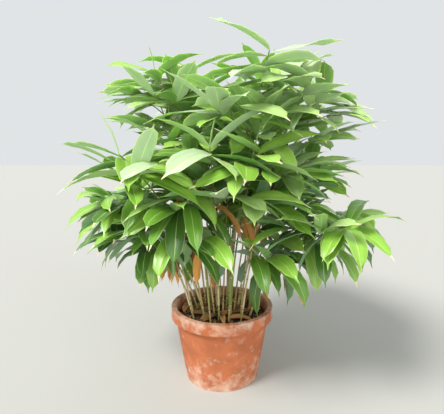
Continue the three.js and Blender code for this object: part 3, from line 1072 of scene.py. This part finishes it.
def cane_skins(settings):
    """Culm skin: hard and smooth, straw where it has aged and green where young, with dull scars and wax."""
    roughness = {"node_brown": 0.8, "wax_bloom": 0.85, "sheath_paper": 0.75, "hollow_brown": 0.95}
    made = []
    for key in CANE_SKINS:
        shade = getattr(settings, key)
        made.append(new_material(f"cane_{key}", Base_Color=shade, Roughness=roughness.get(key, 0.45))[0])
    return made


def make_canes(settings):
    """The leafy canes up to their foliage, and the bare old ones."""
    leafy, old = [], []
    for cane in grown():
        last = cane.storey["bare"]
        leafy += cane_parts(cane.arc, cane.radius, cane.number, last, 1, settings.sheaths)
    for i, foot in enumerate(cane_feet()[1]):
        arc, radius = bare_cane(foot, i)
        old += cane_parts(arc, radius, FIRST_OLD_CANE + i, 1, 0, settings.sheaths / 2)
    skins = cane_skins(settings)
    finish_piece(join_parts("leafy_canes", leafy, skins), nodes_named("leafy_cane"))
    finish_piece(join_parts("old_canes", old, skins), nodes_named("bare_cane"))


def make_twigs(settings):
    """The stems inside the foliage, their branches and the finer twigs."""
    parts = []
    for cane in grown():
        number = cane.number
        parts.append(twig_part(cane.stem, cane.stem_radius, STEM_TIP, number, TOP_LEAVES))
        for k, arc in enumerate(cane.branches):
            parts.append(twig_part(arc, *BRANCH_ENDS, number * 10 + k, FAN_LEAVES))
        for k, arc in enumerate(cane.twigs):
            parts.append(twig_part(arc, *FINER_ENDS, number * 20 + k, TWIG_LEAVES))
    finish_piece(join_parts("stems_and_twigs", parts, cane_skins(settings)))


def make_leaves(settings):
    """The living leaves, one piece for each storey."""
    skins, numbers = leaf_skins(settings)
    for storey in STOREYS:
        canes = [cane for cane in grown() if cane.storey is storey]
        parts = [leaf_part(leaf, numbers[leaf_tint_with_painted_light(leaf)]) for cane in canes for leaf in cane.leaves]
        piece = join_parts(f"leaves_{storey['name']}", parts, skins)
        finish_piece(piece, [f"foliage_{cane.number + 1:02d}" for cane in canes], angle=50)


# The radius in mm of a rolled leaf at places along it
ROLLED_FORM = ((1.2, 0), (2.9, 0.12), (3.6, 0.5), (2.2, 0.85), (0.3, 1))


def make_odd_leaves(settings):
    """The rolled young leaves and the withered ones."""
    skins = withered_skins(settings)
    rings = [(radius, t, 0) for radius, t in ROLLED_FORM]
    young, dead = [], []
    for cane in grown():
        young += [tube(leaf.arc, rings, TWIG_SIDES) for leaf in cane.rolled]
        dead += [shrivelled_part(leaf, int(chance(leaf.seed, 89) * len(skins))) for leaf in cane.withered]
    skin = leaf_skin("leaf_rolled_lime", settings.lime, 0.4)
    finish_piece(join_parts("rolled_young_leaves", young, [skin]))
    finish_piece(join_parts("withered_leaves", dead, skins), angle=60)


def withered_skins(settings):
    """Dead leaf: dry and dull, from straw through rust to brown."""
    made = []
    for name, light in (("rust", 1.0), ("straw", 1.5), ("brown", 0.6)):
        shade = tone(settings.withered, light)
        made.append(new_material(f"leaf_dead_{name}", Base_Color=shade, Roughness=0.85)[0])
    return made


def select_faces(piece, test):
    """Leaves the piece in edit mode with only the faces selected that pass a test."""
    select_only(piece)
    bpy.ops.object.mode_set(mode="EDIT")
    bpy.ops.mesh.select_mode(type="FACE")
    bpy.ops.mesh.select_all(action="DESELECT")
    bpy.ops.object.mode_set(mode="OBJECT")
    for face in piece.data.polygons:
        face.select = test(face)
    bpy.ops.object.mode_set(mode="EDIT")


def raise_top(piece, radius, steps):
    """Draws the top face on through (radius, height) steps. It starts with a radius at the piece's top."""
    height = max(vertex.co.z for vertex in piece.data.vertices)
    select_faces(piece, lambda face: face.normal.z > 0.9 and face.center.z > height - MM)
    for next_radius, next_height in steps:
        bpy.ops.mesh.extrude_region_move(TRANSFORM_OT_translate={"value": (0, 0, next_height - height)})
        share = next_radius / radius
        bpy.ops.transform.resize(value=(share, share, 1))
        radius, height = next_radius, next_height
    bpy.ops.object.mode_set(mode="OBJECT")


def round_solid(name, radius, height, sides, base=0.0, place=(0, 0)):
    """A cylinder of Blender's own, with its place in its mesh."""
    bpy.ops.object.select_all(action="DESELECT")
    middle = (*place, base + height / 2)
    bpy.ops.mesh.primitive_cylinder_add(vertices=sides, radius=radius, depth=height, location=middle)
    piece = bpy.context.active_object
    piece.name = name
    bpy.ops.object.transform_apply(location=True, rotation=True, scale=True)
    return piece


def apply_modifier(piece, kind, **settings):
    select_only(piece)
    made = piece.modifiers.new(kind.lower(), kind)
    for key, value in settings.items():
        setattr(made, key, value)
    bpy.ops.object.modifier_apply(modifier=made.name)


def roughen(piece, above, layers, **settings):
    """Displaces what lies above a height by cloud textures of (name, size, strength)."""
    group = piece.vertex_groups.new(name="rough")
    group.add([vertex.index for vertex in piece.data.vertices if vertex.co.z > above], 1, "REPLACE")
    for name, size, strength in layers:
        clouds = bpy.data.textures.new(name, "CLOUDS")
        clouds.noise_scale = size
        given = {"texture": clouds, "strength": strength, "vertex_group": group.name, **settings}
        apply_modifier(piece, "DISPLACE", **given)
    piece.vertex_groups.clear()


# Sides of the pot, of a drain hole and of the soil, and the rings of the pot's outer wall
POT_SIDES = 96
DRILL_SIDES = 24
SOIL_SIDES = 72
WALL_RINGS = 12

# How the pot's edges are rounded, and how uneven its wall is, in metres
ROUNDED = {"segments": 4, "limit_method": "ANGLE", "angle_limit": 35 * DEGREE}
THROWN = [("throwing", 0.14, 1.6 * MM)]


def make_pot(settings):
    """The pot: a thrown wall with a rim band, drain holes through its base, and rounded edges."""
    foot, rim, height = settings.foot_radius, settings.rim_radius, settings.height
    top_wall = rim - settings.rim_proud
    band_foot = height - settings.rim_band

    def wall(at):
        return between(foot, top_wall, at / height)

    piece = round_solid("clay_pot", foot, settings.base, POT_SIDES)
    rises = np.linspace(settings.base, band_foot - settings.rim_proud, WALL_RINGS)
    outer = [(wall(at), at) for at in rises[1:]]
    band = [(rim, band_foot), (rim, band_foot + settings.rim_band / 2), (rim, height)]
    inner_top = top_wall - settings.wall
    inner = [(inner_top, height), (wall(height / 2) - settings.wall, height / 2)]
    floor = [(wall(settings.base) - settings.wall, settings.base + MM)]
    raise_top(piece, foot, [*outer, *band, *inner, *floor])
    for k in range(settings.drain_holes):
        turn = 2 * math.pi * (k + 0.5) / settings.drain_holes
        place = (settings.drain_ring * math.cos(turn), settings.drain_ring * math.sin(turn))
        depth = 4 * settings.base
        drill = round_solid("drill", settings.drain_radius, depth, DRILL_SIDES, -settings.base, place)
        apply_modifier(piece, "BOOLEAN", object=drill, operation="DIFFERENCE", solver="EXACT")
        bpy.data.objects.remove(drill)
    apply_modifier(piece, "BEVEL", width=settings.edge, **ROUNDED)
    roughen(piece, settings.base / 2, THROWN, mid_level=0.5)
    piece.data.materials.append(fired_clay(settings))
    finish_piece(piece, ["pot"], angle=35)


def mixed(tree, share, colour, other, **settings):
    """Two colours mixed by a share of the second."""
    made = add_node(tree, "ShaderNodeMix", {"data_type": "RGBA", **settings}, _0=share, _6=colour, _7=other)
    return made.outputs[2]


def combined(tree, operation, *values):
    """The result of one operation of arithmetic."""
    numbered = {f"_{i}": value for i, value in enumerate(values)}
    return add_node(tree, "ShaderNodeMath", {"operation": operation}, **numbered).outputs[0]


def add_bump(tree, shader, height, strength, depth_mm):
    bump = add_node(tree, "ShaderNodeBump", None, Strength=strength, Distance=depth_mm * MM, Height=height)
    tree.links.new(bump.outputs["Normal"], shader.inputs["Normal"])


# The heights in metres over which the lime bloom comes in at the pot's foot and at its rim
FOOT_BLOOM = {"From_Min": 0.2, "From_Max": 0.0}
RIM_BLOOM = {"From_Min": 0.345, "From_Max": 0.42}


def fired_clay(settings):
    """Low-fired terracotta: dull and porous, with faint turning lines, fire blotches and lime bloom."""
    made, tree, shader = new_material("terracotta_thrown_and_fired", Roughness=0.9)
    place = add_node(tree, "ShaderNodeTexCoord").outputs["Object"]
    height = add_node(tree, "ShaderNodeSeparateXYZ", None, Vector=place).outputs["Z"]
    blotch = object_noise(tree, place, 90)
    grain = object_noise(tree, place, 1.6, detail=3)
    patch = object_noise(tree, place, 55, detail=7, roughness=0.65)
    body = ramp(tree, blotch, (0.32, tone(settings.clay, 0.82)), (0.68, tone(settings.clay, 1.16)))
    speck = ramp(tree, grain, (0.3, grey(0.8)), (0.62, grey(1.06)))
    body = mixed(tree, 0.7, body, speck, blend_type="MULTIPLY")
    ends = [
        add_node(tree, "ShaderNodeMapRange", None, Value=height, **heights).outputs["Result"]
        for heights in (FOOT_BLOOM, RIM_BLOOM)
    ]
    level = combined(tree, "MULTIPLY_ADD", combined(tree, "MAXIMUM", *ends), 0.22, patch)
    bloom = ramp(tree, level, (0.56, grey(0)), (0.84, grey(0.62)))
    tree.links.new(mixed(tree, bloom, body, settings.bloom), shader.inputs["Base Color"])
    rings = add_node(tree, "ShaderNodeTexWave", {"bands_direction": "Z"}, Vector=place, Distortion=1.4)
    rings.inputs["Scale"].default_value = 2 * math.pi / (20 * settings.turning)
    relief = combined(tree, "MULTIPLY_ADD", grain, 0.8, rings.outputs["Fac"])
    add_bump(tree, shader, relief, strength=0.5, depth_mm=0.6)
    return made


# The soil's rings from the wall to the middle, as shares of its radius and of its crown, the share of
# its radius that its foot has, and how high that, its lumps and its crumbs are, in metres
SOIL_RINGS = ((0.99, 0), (0.92, 0.6), (0.8, 0.95), (0.62, 1), (0.44, 1), (0.26, 1), (0.1, 1))
SOIL_FOOT = 0.77
SOIL_FOOT_HEIGHT = 0.02
LUMPS = [("lumps", 0.03, 12 * MM), ("crumbs", 0.008, 5 * MM)]

# The share of the soil's radius within which it is flat, and its fall in mm from there to the wall
SOIL_FLAT = 0.8
SOIL_FALL = 14

# Litter, in mm and degrees: how far from the middle and how high it lies, how steep and how big it is,
# and how often it is tried. The width of a leaf is a share of its length.
LEAF_REACH = 225
LEAF_TIP_REACH = 236
FALLEN_LENGTH = (60, 165)
FALLEN_WIDTH = (0.2, 0.3)
FALLEN_SLOPES = (7, -6)
FALLEN_GAP = 3
FALLEN_LAYERS = 9
FALLEN_TRIES = 60
CHIP_REACH = 238
CHIP_TRIES = 9
CHIP_LENGTH = (8, 30)
CHIP_THICKNESS = (1.2, 3.4)
CHIP_RISE = (-12, 14)
CHIP_FORM = ((0.3, 0), (1, 0.18), (0.85, 0.8), (0.2, 1))
CANE_FOOT_ROOM = 13


def make_soil(settings):
    """The soil: a closed filling with a lumpy top that falls a little to the wall."""
    low, high = SOIL_BOX[0][2], SOIL_BOX[1][2]
    radius = SOIL_BOX[1][0]
    piece = round_solid("potting_soil", radius * SOIL_FOOT, SOIL_FOOT_HEIGHT, SOIL_SIDES, low)
    edge = high - settings.crown
    rings = [(radius * share, edge + settings.crown * rise) for share, rise in SOIL_RINGS]
    raise_top(piece, radius * SOIL_FOOT, rings)
    select_faces(piece, lambda face: face.normal.z > 0.5 and face.center.z > edge - MM)
    bpy.ops.mesh.poke()
    bpy.ops.mesh.subdivide(number_cuts=3)
    bpy.ops.object.mode_set(mode="OBJECT")
    roughen(piece, edge + 2 * MM, LUMPS, mid_level=0.65, direction="Z")
    piece.data.materials.append(crumbly_soil(settings))
    finish_piece(piece, ["soil"], angle=60)


def crumbly_soil(settings):
    """Potting soil: dull dark crumbs of peat and bark, with paler fibres."""
    made, tree, shader = new_material("soil_peat_and_bark", Roughness=0.97)
    place = add_node(tree, "ShaderNodeTexCoord").outputs["Object"]
    crumb = object_noise(tree, place, 7, detail=6, roughness=0.7)
    fleck = object_noise(tree, place, 2.2, detail=2)
    dark, light = tone(settings.soil, 0.5), tone(settings.soil, 2.0)
    body = ramp(tree, crumb, (0.3, dark), (0.55, settings.soil), (0.75, light))
    pale = ramp(tree, fleck, (0.66, grey(0)), (0.74, grey(0.7)))
    tree.links.new(mixed(tree, pale, body, settings.fibre), shader.inputs["Base Color"])
    add_bump(tree, shader, crumb, strength=0.9, depth_mm=3)
    return made


def soil_height(across):
    """The height of the soil at a distance from the middle, in mm."""
    share = across * MM / SOIL_BOX[1][0]
    return GROUND - SOIL_FALL * max(0, (share - SOIL_FLAT) / (1 - SOIL_FLAT))


def litter_place(reach, i, attempt, key):
    """A place within a reach of the middle, and its distance from it."""
    turn = 2 * math.pi * chance(i, attempt, key)
    across = reach * math.sqrt(chance(i, attempt, key + 1))
    return (math.cos(turn) * across, math.sin(turn) * across), across


def scattered_leaf(crowd, i):
    """A fallen leaf flat on the soil, inside the rim and between the canes, or none if it finds no room."""
    extent = pick(FALLEN_LENGTH, i, 93)
    width = extent * pick(FALLEN_WIDTH, i, 95)
    for attempt in range(FALLEN_TRIES):
        place, across = litter_place(LEAF_REACH, i, attempt, 91)
        start = (*place, soil_height(across) + FALLEN_GAP + i % FALLEN_LAYERS)
        heading = 2 * math.pi * chance(i, attempt, 94)
        arc = Arc(start, heading, FALLEN_SLOPES[0] * DEGREE, FALLEN_SLOPES[1] * DEGREE, extent)
        leaf = Leaf(arc, width, 0, FIRST_FALLEN_SEED + i)
        outline = leaf_outline(leaf)
        inside = np.all(np.hypot(outline[0][:, 0], outline[0][:, 1]) < LEAF_TIP_REACH)
        if inside and crowd.is_free("litter", outline):
            return leaf
    return None


def chip_part(i, feet, slots):
    """A bit of bark or broken twig on the soil: a sliver with pointed ends, clear of every cane's foot."""
    for attempt in range(CHIP_TRIES):
        place, across = litter_place(CHIP_REACH, i, attempt, 96)
        if np.min(np.hypot(*(feet - place).T)) > CANE_FOOT_ROOM:
            break
    extent = between(*CHIP_LENGTH, chance(i, 98) ** 2)
    thick = pick(CHIP_THICKNESS, i, 99)
    start = (*place, soil_height(across) + thick * 0.7)
    arc = Arc(start, 2 * math.pi * chance(i, 100), pick(CHIP_RISE, i, 101) * DEGREE, 0, extent)
    rings = [(thick * share, t, i % slots) for share, t in CHIP_FORM]
    return tube(arc, rings, CHIP_SIDES)


def make_litter(settings):
    """Fallen leaves and bits of bark on the soil, inside the pot."""
    crowd = Crowd(nodes_named("leafy_cane") + nodes_named("bare_cane"))
    leaves = [scattered_leaf(crowd, i) for i in range(settings.fallen)]
    skins = withered_skins(settings)
    parts = [shrivelled_part(leaf, leaf.seed % len(skins)) for leaf in leaves if leaf]
    finish_piece(join_parts("fallen_leaves", parts, skins), angle=60)
    leafy, bare = cane_feet()
    feet = np.array([foot["place"][:2] for foot in leafy + bare])
    parts = [chip_part(i, feet, len(skins)) for i in range(settings.chips)]
    finish_piece(join_parts("bark_chips", parts, skins), angle=30)


FLOOR_SIZE = 60

# In metres: what the lights shine at, the middle of the crown, and where they stand
CROWN = (0, 0, 1.1)
KEY_PLACE = (-3.6, -3.0, 6.6)
FILL_PLACE = (2.6, -5.5, 3.2)


def make_stage(settings):
    """The floor, the sky, two lights and the camera."""
    bpy.ops.object.select_all(action="DESELECT")
    bpy.ops.mesh.primitive_plane_add(size=FLOOR_SIZE, location=(0, 0, 0))
    floor = bpy.context.active_object
    floor.name = "floor"
    paint = new_material("floor_matt_paint", Base_Color=settings.floor, Roughness=0.85)[0]
    floor.data.materials.append(paint)
    scene = bpy.context.scene
    scene.view_settings.view_transform = "Standard"
    scene.world = bpy.data.worlds.new("studio")
    scene.world.use_nodes = True
    background = scene.world.node_tree.nodes["Background"]
    background.inputs["Color"].default_value = settings.sky
    background.inputs["Strength"].default_value = settings.sky_strength
    add_sun("key", KEY_PLACE, settings.key_strength, 20)
    add_sun("fill", FILL_PLACE, settings.fill_strength, 60)
    camera = bpy.data.objects.new("camera", bpy.data.cameras.new("camera"))
    scene.collection.objects.link(camera)
    scene.camera = camera
    camera.data.angle = settings.view_angle
    camera.location = (0, -settings.distance, settings.eye_height)
    camera.rotation_euler = (math.pi / 2 - settings.look_down, 0, 0)


def add_sun(name, place, energy, degrees):
    """A light that shines at the crown from one side, as soft as that of a disc of so many degrees."""
    light = bpy.data.objects.new(name, bpy.data.lights.new(name, "SUN"))
    light.data.energy = energy
    light.data.angle = degrees * DEGREE
    light.location = place
    aim = Vector(CROWN) - Vector(place)
    light.rotation_euler = aim.to_track_quat("-Z", "Y").to_euler()
    bpy.context.scene.collection.objects.link(light)


def colour(name, description, hex_colour):
    return FloatVectorProperty(
        name=name, description=description, subtype="COLOR", size=4, min=0, max=1, default=linear(hex_colour)
    )


def length(name, description, metres):
    return FloatProperty(name=name, description=description, unit="LENGTH", min=0, default=metres)


def tilt(name, description, degrees):
    return FloatProperty(name=name, description=description, unit="ROTATION", default=degrees * DEGREE)


class BambooLeafSettings(bpy.types.PropertyGroup):
    more_leaves: IntProperty(name="Older leaves", description="Older leaves below each fan", default=3, min=0)
    dead: IntProperty(name="Withered leaves", description="Withered leaves on each cane", default=2, min=0)
    # The blade tints paint shade low down and inside the crown and light at its top and outside
    shade: colour("Shade", "Blades low down inside the crown", "#466f24")
    deep: colour("Deep", "Blades of the lower crown", "#63912f")
    mid: colour("Middle", "Blades half way up", "#7ea93b")
    fresh: colour("Fresh", "Blades of the upper crown", "#93b952")
    lime: colour("Lime", "Blades at the top and the outside", "#a2be76")
    # Pale is painted sunlight and sheen on the topmost, outermost blades
    pale: colour("Pale", "The palest blades, which the sun has bleached", "#afc19b")
    glaucous: colour("Glaucous", "The waxy bloom of a leaf's underside", "#90ae9a")
    midrib: colour("Midrib", "The rib and stalk of a leaf", "#c3d884")
    margin: colour("Margin", "The thin pale edge of a leaf", "#c3cf90")
    dry_tip: colour("Dry tip", "A tip that has withered", "#dccfa4")
    withered: colour("Withered", "A leaf that has died", "#c08845")


class BambooCaneSettings(bpy.types.PropertyGroup):
    sheaths: FloatProperty(name="Sheaths", description="Share of internodes in a sheath", default=0.45, max=1)
    straw: colour("Straw", "Skin of an aged internode", "#c6b67c")
    tan: colour("Tan", "Skin of an ageing internode", "#ab9c60")
    olive: colour("Olive", "Skin that is still partly green", "#8f9a52")
    green: colour("Green", "Skin of a young internode or twig", "#7b9442")
    node_brown: colour("Node", "The scar round a node", "#8b7548")
    wax_bloom: colour("Wax", "The white wax under a node", "#c2bb92")
    sheath_paper: colour("Sheath", "A papery sheath", "#cdbd92")
    hollow_brown: colour("Hollow", "The inside of a broken cane", "#4a3a26")


class BambooPotSettings(bpy.types.PropertyGroup):
    height: length("Height", "Height of the pot", POT_BOX[1][2] - POT_BOX[0][2])
    rim_radius: length("Rim radius", "Outer radius of the rim band", POT_BOX[1][0])
    foot_radius: length("Foot radius", "Outer radius of the underside", 0.208)
    wall: length("Wall", "Thickness of the wall", 0.016)
    base: length("Base", "Thickness of the base", 0.022)
    rim_band: length("Rim band", "Height of the rim band", 0.062)
    rim_proud: length("Rim proud", "How far the band stands out of the wall", 0.013)
    edge: length("Edge", "Rounding of the edges", 0.0045)
    drain_holes: IntProperty(name="Drain holes", description="Holes through the base", default=4, min=1)
    drain_radius: length("Drain radius", "Radius of a drain hole", 0.011)
    drain_ring: length("Drain ring", "Distance of the holes from the middle", 0.115)
    turning: length("Turning lines", "Distance from one turning line to the next", 0.008)
    clay: colour("Clay", "Fired clay", "#b4663e")
    bloom: colour("Bloom", "Lime that has come out of the clay", "#dcc7b0")


class BambooSoilSettings(bpy.types.PropertyGroup):
    crown: length("Crown", "How far the soil falls to the wall", 0.014)
    fallen: IntProperty(name="Fallen leaves", description="Fallen leaves on the soil", default=60, min=1)
    chips: IntProperty(name="Bark chips", description="Bits of bark on the soil", default=420, min=1)
    soil: colour("Soil", "Moist potting soil", "#3f2e21")
    fibre: colour("Fibre", "Fibres and dry crumbs", "#8b7353")
    withered: colour("Litter", "Fallen leaves and bark", "#9a7245")


class BambooStageSettings(bpy.types.PropertyGroup):
    floor: colour("Floor", "The studio floor", "#a9a8a2")
    sky: colour("Sky", "The light all round", "#f1f5f7")
    sky_strength: FloatProperty(name="Sky strength", description="How bright the sky is", default=0.85)
    key_strength: FloatProperty(name="Key", description="Light from above, in W/m2", default=4.4)
    fill_strength: FloatProperty(name="Fill", description="Light from the front, in W/m2", default=1.4)
    distance: length("Distance", "From the plant's middle to the camera", 2.12)
    eye_height: length("Eye height", "Height of the camera", 1.3)
    look_down: tilt("Look down", "How far the camera looks below level", 8.5)
    view_angle: tilt("View", "Angle across the camera's view", 60)


def grown():
    """The plant as the leaf settings have it."""
    settings = bpy.context.scene.bamboo_leaves
    return growth(settings.more_leaves, settings.dead)


class BAMBOO_OT_canes(bpy.types.Operator):
    """Model the leafy and the bare old canes with their nodes and sheaths"""

    bl_idname = "bamboo.canes"
    bl_label = "Canes"

    def execute(self, context):
        make_canes(context.scene.bamboo_canes)
        return {"FINISHED"}


class BAMBOO_OT_twigs(bpy.types.Operator):
    """Grow the upper stems, branches and finer twigs"""

    bl_idname = "bamboo.twigs"
    bl_label = "Twigs"

    def execute(self, context):
        make_twigs(context.scene.bamboo_canes)
        return {"FINISHED"}


class BAMBOO_OT_leaves(bpy.types.Operator):
    """Grow the fans of leaves, storey by storey"""

    bl_idname = "bamboo.leaves"
    bl_label = "Leaves"

    def execute(self, context):
        make_leaves(context.scene.bamboo_leaves)
        return {"FINISHED"}


class BAMBOO_OT_odd_leaves(bpy.types.Operator):
    """Grow the rolled young leaves and hang the withered ones"""

    bl_idname = "bamboo.odd_leaves"
    bl_label = "Young and withered leaves"

    def execute(self, context):
        make_odd_leaves(context.scene.bamboo_leaves)
        return {"FINISHED"}


class BAMBOO_OT_pot(bpy.types.Operator):
    """Model the clay pot"""

    bl_idname = "bamboo.pot"
    bl_label = "Pot"

    def execute(self, context):
        make_pot(context.scene.bamboo_pot)
        return {"FINISHED"}


class BAMBOO_OT_soil(bpy.types.Operator):
    """Fill the pot with soil"""

    bl_idname = "bamboo.soil"
    bl_label = "Soil"

    def execute(self, context):
        make_soil(context.scene.bamboo_soil)
        return {"FINISHED"}


class BAMBOO_OT_litter(bpy.types.Operator):
    """Scatter fallen leaves and bits of bark on the soil"""

    bl_idname = "bamboo.litter"
    bl_label = "Litter"

    def execute(self, context):
        make_litter(context.scene.bamboo_soil)
        return {"FINISHED"}


class BAMBOO_OT_stage(bpy.types.Operator):
    """Set up the floor, the lights and the camera"""

    bl_idname = "bamboo.stage"
    bl_label = "Stage"

    def execute(self, context):
        make_stage(context.scene.bamboo_stage)
        return {"FINISHED"}


SETTINGS = {
    "bamboo_leaves": BambooLeafSettings,
    "bamboo_canes": BambooCaneSettings,
    "bamboo_pot": BambooPotSettings,
    "bamboo_soil": BambooSoilSettings,
    "bamboo_stage": BambooStageSettings,
}
OPERATORS = (
    BAMBOO_OT_canes,
    BAMBOO_OT_twigs,
    BAMBOO_OT_leaves,
    BAMBOO_OT_odd_leaves,
    BAMBOO_OT_pot,
    BAMBOO_OT_soil,
    BAMBOO_OT_litter,
    BAMBOO_OT_stage,
)


class BAMBOO_PT_panel(bpy.types.Panel):
    """Lists the steps and their settings"""

    bl_label = "Potted bamboo"
    bl_space_type = "VIEW_3D"
    bl_region_type = "UI"
    bl_category = "Bamboo"

    def draw(self, context):
        for operator in OPERATORS:
            self.layout.operator(operator.bl_idname)
        for name in SETTINGS:
            group = getattr(context.scene, name)
            for key in group.__annotations__:
                self.layout.prop(group, key)


def register():
    for kind in (*SETTINGS.values(), *OPERATORS, BAMBOO_PT_panel):
        bpy.utils.register_class(kind)
    for name, kind in SETTINGS.items():
        setattr(bpy.types.Scene, name, PointerProperty(type=kind))


def unregister():
    for name in SETTINGS:
        delattr(bpy.types.Scene, name)
    for kind in reversed((*SETTINGS.values(), *OPERATORS, BAMBOO_PT_panel)):
        bpy.utils.unregister_class(kind)


def main():
    register()
    bpy.ops.bamboo.canes()
    bpy.ops.bamboo.twigs()
    bpy.ops.bamboo.leaves()
    bpy.ops.bamboo.odd_leaves()
    bpy.ops.bamboo.pot()
    bpy.ops.bamboo.soil()
    bpy.ops.bamboo.litter()
    bpy.ops.bamboo.stage()


if __name__ == "__main__":
    main()
